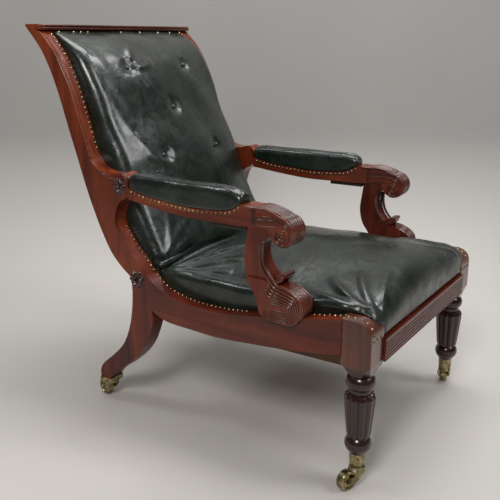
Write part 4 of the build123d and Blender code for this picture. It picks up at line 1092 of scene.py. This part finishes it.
        def petals(reach: Array, angle: Array) -> tuple[Array, Array]:
            """Six deep petals, each with a hollow and a rib, round a split boss."""
            lobe = np.abs(np.cos(3 * angle)) ** 0.7
            boss = 0.0080 * np.exp(-((reach / 0.22) ** 4)) * (0.75 + 0.25 * np.cos(6 * angle))
            ring = 0.0075 * np.exp(-(((reach - 0.66) / 0.22) ** 2)) * (0.15 + 0.85 * lobe)
            rib = 0.0022 * np.exp(-((np.sin(3 * angle) / 0.16) ** 2)) * smooth(0.35, 0.6, reach)
            rise = np.maximum(boss, ring + rib * lobe) * (1 - smooth(0.90, 1.0, reach)) + 0.0004
            return rise, 0.80 + 0.20 * lobe

        self.relief("carved_rosette", "knee_rosette", 0.0225, petals)

    def shoulder_leaves(self) -> None:
        """A carved leaf under the nose of each shoulder, of five lobes with veins."""

        def lobes(reach: Array, angle: Array) -> tuple[Array, Array]:
            """Five lobes that hang from the nose, cut by narrow valleys."""
            down = angle + pi / 2
            lobe = np.abs(np.cos(2.5 * down)) ** 0.8
            ridge = 0.0088 * np.exp(-(((reach - 0.62) / 0.26) ** 2)) * (0.12 + 0.88 * lobe)
            boss = 0.0070 * np.exp(-((reach / 0.22) ** 4))
            grooves = 0.0018 * np.sin(12.5 * down) ** 2 * smooth(0.25, 0.5, reach)
            rise = np.maximum(ridge - grooves * lobe, boss) * (1 - smooth(0.90, 1.0, reach)) + 0.0004
            return rise, (0.78 + 0.22 * lobe) * (1 - 0.12 * np.cos(2 * angle))

        self.relief("carved_leaf", "shoulder_leaf", 0.0215, lobes)

    def noses(self) -> None:
        """A rounded, overhanging moulding round the nose of each shoulder."""
        skin = Skin(self.nodes["stile_left"])
        depths = np.linspace(0.172, 0.272, 40)
        top = skin.hits(columns(-0.285, depths, 0.640), -UP)
        sink = np.interp(top[:, 1], [0.172, 0.200, 0.272], [0.0078, 0.0074, 0.0040])
        side = columns(-STILE_FACE, top[:, 1], top[:, 2] - sink)
        front = columns(np.linspace(-0.2500, -0.2860, 12), 0.1715, side[0, 2] - 0.0005)
        corner = [[-STILE_FACE, 0.1735, side[0, 2] - 0.0003]]
        path = spline(np.concatenate([front, corner, side[2:]]), 90)
        radius = np.interp(np.linspace(0, 1, 90), [0, 0.05, 0.45, 1.0], [0.0075, 0.0080, 0.0072, 0.0030])
        nose = bead(path, radius, UP, sides=16)
        # Painted light: the noses take the lighter copy of mahogany.
        self.place("shoulder_nose", [nose], Grain.DEEP, wood=self.finishes.painted_lit)

    def carve(self) -> None:
        """All of the carving and beads."""
        self.stile_beads()
        self.crest_beads()
        self.arm_scrolls()
        self.support_feet()
        self.support_leaves()
        self.rosettes()
        self.shoulder_leaves()
        self.noses()


# Brass


def lathe(profile: Array, sides: int) -> Part:
    """A closed solid turned about Z from a profile that starts and ends on the axis.

    Args:
        profile: distance from the axis and height, one place a row.
        sides: how many sides the turned form has.

    Returns:
        Vertices and faces.
    """
    turn = np.linspace(0, 2 * pi, sides, endpoint=False)
    reach, height = profile[1:-1, :1], profile[1:-1, 1:]
    rings = columns(reach * np.cos(turn), reach * np.sin(turn), height)
    return tube(rings, np.array([0, 0, profile[0, 1]]), np.array([0, 0, profile[-1, 1]]))


def set_on(part: Part, place: Array, out: Array) -> Part:
    """A turned solid moved to a place, with its axis along a direction."""
    verts, faces = part
    turn = Vector((0, 0, 1)).rotation_difference(Vector(out)).to_matrix()
    return verts @ np.array(turn).T + np.asarray(place, float), faces


class Brazier:
    """The brass trim that the frame leaves to the looks."""

    NAIL_DROP, NAIL_OUT = 0.0195, 0.0006
    SCREW_DROP = 0.010
    DOME = ((0, -0.0006), (0.0040, -0.0006), (0.0040, 0.0004), (0.0031, 0.0018), (0.0016, 0.0026),
            (0, 0.0028))
    SCREW = ((0, -0.001), (0.0026, -0.001), (0.0026, 0.0003), (0.0019, 0.0008), (0.0008, 0.0004),
             (0, 0.0002))
    NAILS_X = (-0.238, -0.190, -0.166, -0.142, -0.020, 0.056, 0.135, 0.190, 0.238)
    SLANTED = ((-0.86, -0.5, 0.0), (0.86, -0.5, 0.0))
    LEVEL = ((-1.0, 0.0, 0.0), (1.0, 0.0, 0.0))
    SCREW_WAYS = {"front_left_cup": SLANTED, "front_right_cup": SLANTED,
                  "rear_left_cup": LEVEL, "rear_right_cup": LEVEL}

    def __init__(self, frame: dict, brass: Metal, dark: Metal) -> None:
        """Keeps the nodes and both brasses."""
        self.nodes = frame["nodes"]
        self.brass = brass.material()
        self.dark = dark.material()

    def crest_nails(self) -> None:
        """Small nails under the crest, close at the left and sparse at the right."""
        skin = Skin(self.nodes["back_cushion"])
        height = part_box("crest_rail")[1][2] - self.NAIL_DROP
        dome = lathe(np.array(self.DOME), 14)
        tilt = np.array([0.0, -0.95, 0.3])
        places = skin.seen(np.array(self.NAILS_X), height)
        parts = [set_on(dome, place - self.NAIL_OUT * BACKWARD, tilt) for place in places]
        settle(joined("crest_nails", parts), self.brass)

    def cup_screws(self) -> None:
        """Two slotted screws in each brass cup."""
        head = lathe(np.array(self.SCREW), 16)
        parts = []
        for node, ways in self.SCREW_WAYS.items():
            skin = Skin(self.nodes[node])
            low, high = np.array(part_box(node))
            middle = np.array([*(low + high)[:2] / 2, high[2] - self.SCREW_DROP])
            for way in np.array(ways):
                place = skin.hits((middle + 0.1 * way)[None], -way)
                parts += [set_on(head, met, way) for met in place]
        settle(joined("cup_screws", parts), self.dark)


# The whole


@dataclass(frozen=True)
class Finishes:
    """Every finish on the chair."""

    mahogany: Wood = Wood("mahogany", (0.050, 0.0075, 0.0040), (0.104, 0.0145, 0.0055),
                          (0.172, 0.032, 0.0105), coat=0.10)
    # Painted light: a lighter copy of mahogany for the pieces that catch the light, such as the stiles,
    # crest, arms, beads and noses.
    painted_lit: Wood = Wood("mahogany_lit", (0.088, 0.0150, 0.0055), (0.165, 0.029, 0.0080),
                        (0.250, 0.058, 0.0160), coat=0.12)
    # The turned legs carry painted shade in their hollows and below the block.
    turned: Wood = Wood("mahogany_turned", (0.050, 0.0120, 0.0065), (0.100, 0.027, 0.0140),
                        (0.155, 0.052, 0.027), 0.24, 0.55, 0.10, painted_recess_shade=0.8, painted_shade_below=0.283)
    carved: Wood = Wood("mahogany_carved", (0.042, 0.0078, 0.0042), (0.102, 0.020, 0.0090),
                        (0.180, 0.050, 0.021), 0.24, 0.6, 0.12, painted_recess_shade=0.95)
    boss: Wood = Wood("mahogany_boss", (0.020, 0.006, 0.005), (0.050, 0.014, 0.010),
                      (0.110, 0.036, 0.022), 0.22, 0.7, 0.10, painted_recess_shade=1.0)
    beech: Wood = Wood("beech", (0.075, 0.036, 0.018), (0.120, 0.062, 0.030),
                       (0.165, 0.092, 0.048), 0.55, 0.0)
    leather: Leather = Leather("hide", (0.0040, 0.0075, 0.0058), (0.0085, 0.0150, 0.0112),
                               (0.0200, 0.0300, 0.0230))
    brass: Metal = Metal("nail_brass", (0.36, 0.29, 0.18), (0.10, 0.07, 0.04), 0.22, 160)
    caster: Metal = Metal("caster_brass", (0.47, 0.40, 0.21), (0.13, 0.11, 0.055), 0.30, 70)
    dark: Metal = Metal("screw_brass", (0.16, 0.12, 0.06), (0.05, 0.04, 0.02), 0.45, 200)


@dataclass(frozen=True)
class View:
    """Where the photograph was taken from."""

    place: Triple = (-1.548, -0.994, 0.924)
    azimuth: float = -56.9
    elevation: float = 16.32
    lens: float = 52.4
    sensor: float = 36.0

    def camera(self) -> bpy.types.Object:
        """The scene's camera, looking back along its azimuth and elevation."""
        data = bpy.data.cameras.new("camera")
        data.lens = self.lens
        data.sensor_width = self.sensor
        obj = linked("camera", data)
        obj.location = self.place
        turn, tilt = radians(self.azimuth), radians(self.elevation)
        away = Vector((sin(turn) * cos(tilt), -cos(turn) * cos(tilt), sin(tilt)))
        obj.rotation_euler = away.to_track_quat("Z", "Y").to_euler()
        bpy.context.scene.camera = obj
        return obj


@dataclass(frozen=True)
class Lamp:
    """An oblong soft lamp that looks at a place."""

    name: str
    place: Triple
    target: Triple
    size: tuple[float, float]
    power: float
    colour: Triple = WHITE

    def build(self) -> bpy.types.Object:
        """The lamp."""
        data = bpy.data.lights.new(self.name, "AREA")
        data.shape = "RECTANGLE"
        data.size, data.size_y = self.size
        data.energy = self.power
        data.color = self.colour
        obj = linked(self.name, data)
        obj.location = self.place
        way = Vector(self.place) - Vector(self.target)
        obj.rotation_euler = way.to_track_quat("Z", "Y").to_euler()
        return obj


class Studio:
    """The plain room that the chair stands in."""

    FLOOR_END = 2.62
    CURVE = 0.55
    WALL = 4.0
    HALF = 6.0
    NEAR = 5.0
    EVEN_LIGHT = 0.14
    LAMPS = (
        Lamp("window", (0.46, -2.20, 2.58), (-0.18, 0.20, 0.70), (0.95, 1.4), 31.0),
        Lamp("pane", (1.48, -0.85, 3.06), (-0.20, 0.33, 0.87), (0.7, 0.6), 15.0),
        Lamp("rim", (-1.10, 1.60, 3.00), (-0.30, 0.0, 0.60), (0.6, 0.6), 14.0),
        Lamp("key", (-2.7, -0.9, 2.7), (0.0, 0.0, 0.45), (0.9, 0.9), 64.0, (1.0, 0.975, 0.94)),
        Lamp("top", (0.4, 0.2, 3.1), (0.1, 0.0, 0.4), (1.5, 1.5), 46.0),
    )

    def __init__(self, view: View) -> None:
        """Keeps the view, which the room is square to."""
        self.view = view

    def cove(self) -> bpy.types.Object:
        """The floor, and the wall that it curves up into behind the chair.

        Returns:
            The cove: a straight floor, a quarter circle and a straight wall.
        """
        turn = np.linspace(0, pi / 2, 24)
        floor = columns(np.linspace(-self.NEAR, self.FLOOR_END, 12), 0.0)
        curve = columns(self.FLOOR_END + self.CURVE * np.sin(turn), self.CURVE * (1 - np.cos(turn)))
        wall = columns(self.FLOOR_END + self.CURVE, np.linspace(self.CURVE, self.WALL, 8))
        line = np.concatenate([floor, curve[1:], wall[1:]])
        heading = radians(self.view.azimuth)
        ahead = np.array([-sin(heading), cos(heading)])
        aside = np.array([ahead[1], -ahead[0]])
        across = np.linspace(-self.HALF, self.HALF, 9)
        base = np.array(self.view.place[:2])
        plan = base + line[:, None, :1] * ahead + across[None, :, None] * aside
        grid = columns(plan[..., 0], plan[..., 1], line[:, 1:])
        faces = grid_faces(len(line), len(across))[:, ::-1]
        obj = mesh_object("cove", grid.reshape(-1, 3), faces.tolist())
        nodes = Nodes("backdrop")
        space = nodes.object_space()
        cloud = nodes.noise(space, 1.3, 2)
        tone = nodes.ramp(cloud, "Fac", [(0.3, (0.92, 0.92, 0.92)), (0.7, (1.0, 1.0, 1.0))])
        parts = nodes.add("ShaderNodeSeparateXYZ")
        nodes.link(space, "Vector", parts, "Vector")
        plain = nodes.ramp(parts, "Z", [(0.02, (0.55, 0.528, 0.502)), (0.50, (0.345, 0.338, 0.327))])
        nodes.tint(nodes.times(1.0, plain, tone), nodes.shader, "Base Color")
        nodes.set(Roughness=0.75, Specular_IOR_Level=0.2)
        self.open_behind(nodes)
        obj.data.materials.append(nodes.material)
        return obj

    def open_behind(self, nodes: Nodes) -> None:
        """Lets a camera see through the cove from its outer side.

        Args:
            nodes: the cove's material nodes.
        """
        ray = nodes.add("ShaderNodeLightPath")
        side = nodes.add("ShaderNodeNewGeometry")
        both = nodes.add("ShaderNodeMath", operation="MULTIPLY")
        nodes.link(ray, "Is Camera Ray", both, 0)
        nodes.link(side, "Backfacing", both, 1)
        clear = nodes.add("ShaderNodeBsdfTransparent")
        mixed = nodes.add("ShaderNodeMixShader")
        nodes.link(both, "Value", mixed, 0)
        nodes.link(nodes.shader, "BSDF", mixed, 1)
        nodes.link(clear, "BSDF", mixed, 2)
        nodes.link(mixed, "Shader", nodes.output, "Surface")

    def build(self) -> None:
        """The room, its lamps and its even light."""
        world = bpy.data.worlds.new("even_light")
        world.use_nodes = True
        light = world.node_tree.nodes["Background"].inputs
        light["Color"].default_value = (0.92, 0.90, 0.88, 1.0)
        light["Strength"].default_value = self.EVEN_LIGHT
        bpy.context.scene.world = world
        self.cove()
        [lamp.build() for lamp in self.LAMPS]


class Armchair:
    """The dressed armchair."""

    # The pieces that take the lighter copy of mahogany, as painted light.
    PAINTED_LIT_PARTS = ("stile_left", "stile_right", "crest_rail", "arm_left", "arm_right")
    TURNED = ("front_leg_left", "front_leg_right")
    UPRIGHT = ("stile", "rear_leg", "front_leg", "arm_support", "corner_blocks")
    ACROSS = ("crest_rail", "lower_back_rail", "front_seat_rail", "rear_seat_rail", "footrest_front",
              "footrest_board")
    CAST = ("wheel", "horn", "cup", "axle")

    def __init__(self, frame: dict) -> None:
        """Keeps the frame and the finishes."""
        self.frame = frame
        self.nodes = frame["nodes"]
        self.finishes = Finishes()

    def grain(self, node: str) -> Grain:
        """The way that a wooden node's grain runs."""
        if node.startswith(self.UPRIGHT):
            return Grain.UPRIGHT
        if node.startswith(self.ACROSS):
            return Grain.ACROSS
        return Grain.DEEP

    def finish_nodes(self) -> None:
        """Gives the wood, the brass and the leather their finishes, by their slots.

        The iron, the springs, the webbing and the canvas keep their plain ones.
        """
        looks = self.finishes
        for name, obj in self.nodes.items():
            slot = obj.material_slots[0]
            kind = slot.material.name.split(".")[0]
            if kind == "mahogany":
                # Painted light: pieces that catch the light take the lighter copy of mahogany.
                lit = looks.painted_lit if name in self.PAINTED_LIT_PARTS else looks.mahogany
                slot.material = (looks.turned if name in self.TURNED else lit).material(self.grain(name))
            elif kind == "beech":
                slot.material = looks.beech.material(self.grain(name))
            elif kind == "brass":
                slot.material = (looks.caster if name.endswith(self.CAST) else looks.brass).material()
            elif kind == "leather":
                slot.material = looks.leather.material()

    def forms(self) -> list[Form]:
        """The stuffed forms with their folds and tufts."""
        back_folds = (
            Fold((-0.238, 0.386), (-0.130, 0.430), 0.0020, 0.0070, 0.004),
            Fold((-0.236, 0.388), (-0.165, 0.500), 0.0014, 0.0090, -0.008),
            Fold((-0.232, 0.400), (-0.100, 0.480), 0.0016, 0.0080, 0.006),
        )
        back_tufts = tuple(Tuft(place, 0.0008, 0.022, creases, 0.0013, turn) for place, creases, turn in (
            ((-0.115, 0.8498), 3, 0.5), ((0.115, 0.8498), 3, 1.1), ((0.0, 0.745), 3, 0.2),
            ((-0.115, 0.6352), 3, 0.9), ((0.115, 0.6352), 3, 0.4)))
        pulls = (
            Fold((-0.106, 0.860), (-0.056, 0.905), 0.0036, 0.0085, 0.004),
            Fold((-0.102, 0.850), (-0.030, 0.858), 0.0030, 0.0080, -0.004),
            Fold((-0.104, 0.840), (-0.060, 0.788), 0.0022, 0.0085, 0.004),
            Fold((-0.225, 0.905), (-0.165, 0.730), 0.0028, 0.0220, 0.010),
            Fold((-0.190, 0.690), (-0.130, 0.575), 0.0022, 0.0180, 0.006),
            Fold((-0.215, 0.800), (-0.150, 0.640), 0.0018, 0.0140, -0.010),
            Fold((-0.175, 0.640), (-0.060, 0.585), 0.0018, 0.0100, 0.008),
            Fold((-0.200, 0.600), (-0.090, 0.560), 0.0014, 0.0080, -0.006),
        )
        seat_rear = (
            Fold((-0.250, 0.112), (-0.040, 0.030), 0.0060, 0.0075, 0.012),
            Fold((-0.252, 0.104), (-0.110, -0.050), 0.0055, 0.0080, 0.012),
            Fold((-0.254, 0.090), (-0.170, -0.090), 0.0050, 0.0100, 0.010),
            Fold((-0.258, 0.070), (-0.220, -0.080), 0.0040, 0.0100, 0.006),
            Fold((-0.248, 0.118), (-0.050, 0.062), -0.0050, 0.0055, 0.008),
        )
        seat_front = (
            Fold((-0.274, -0.425), (-0.232, -0.270), 0.0065, 0.0085, 0.008),
            Fold((-0.270, -0.440), (-0.190, -0.320), 0.0075, 0.0085, 0.008),
            Fold((-0.262, -0.452), (-0.150, -0.372), 0.0060, 0.0090, 0.006),
            Fold((-0.276, -0.400), (-0.258, -0.230), 0.0045, 0.0080, 0.004),
            Fold((-0.240, -0.462), (-0.110, -0.420), 0.0045, 0.0090, 0.004),
        )
        seat_broad = (
            Fold((-0.050, -0.020), (0.120, -0.120), 0.0022, 0.030, 0.02),
            Fold((-0.020, -0.300), (0.160, -0.200), 0.0020, 0.035, -0.02),
        )
        pad_marks = (
            Fold((-0.292, -0.150), (-0.266, -0.110), 0.0014, 0.0050, 0.002),
            Fold((-0.300, -0.138), (-0.288, -0.085), 0.0012, 0.0050, 0.002),
            Fold((-0.278, -0.155), (-0.272, -0.115), -0.0014, 0.0040, 0.000),
            Fold((-0.300, -0.090), (-0.286, 0.010), 0.0010, 0.0070, 0.003),
            Fold((-0.302, 0.020), (-0.290, 0.110), 0.0008, 0.0070, -0.003),
        )
        seat_marks = seat_rear + other_sides(seat_rear) + seat_front + other_sides(seat_front) + seat_broad
        back_marks = back_folds + other_sides(back_folds) + back_tufts + pulls
        return [
            Form("seat_cushion", "frame", (0, 1), (0, 0, 1), 0.0042, 6, seat_marks, unevenness=0.0007),
            Form("back_cushion", "frame", (0, 2), (0, -1, 0.35), 0.0040, 12, back_marks, unevenness=0.0007),
            Form("arm_pad_left", "frame", (0, 1), (0, 0, 1), 0.0025, 6, pad_marks),
            Form("arm_pad_right", "frame", (0, 1), (0, 0, 1), 0.0025, 6, other_sides(pad_marks)),
            Form("footrest_pad", "footrest", (0, 1), (0, 0, 1), 0.0040, 4, swell=0.001),
        ]

    def dress(self) -> None:
        """Finishes, leather, carving and trim."""
        self.finish_nodes()
        upholstery = Upholstery(self.frame, self.finishes.leather)
        for form in self.forms():
            upholstery.build(form)
        upholstery.joint_roll()
        upholstery.outside_back()
        Carver(self.frame, self.finishes).carve()
        trim = Brazier(self.frame, self.finishes.brass, self.finishes.dark)
        trim.crest_nails()
        trim.cup_screws()


def main() -> None:
    """Loads the frame, dresses the chair and sets the studio around it."""
    logging.basicConfig(level=logging.INFO, format="%(name)s: %(message)s")
    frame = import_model()
    bpy.context.scene.view_settings.view_transform = "Standard"
    Armchair(frame).dress()
    view = View()
    view.camera()
    Studio(view).build()
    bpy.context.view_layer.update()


if __name__ == "__main__":
    main()
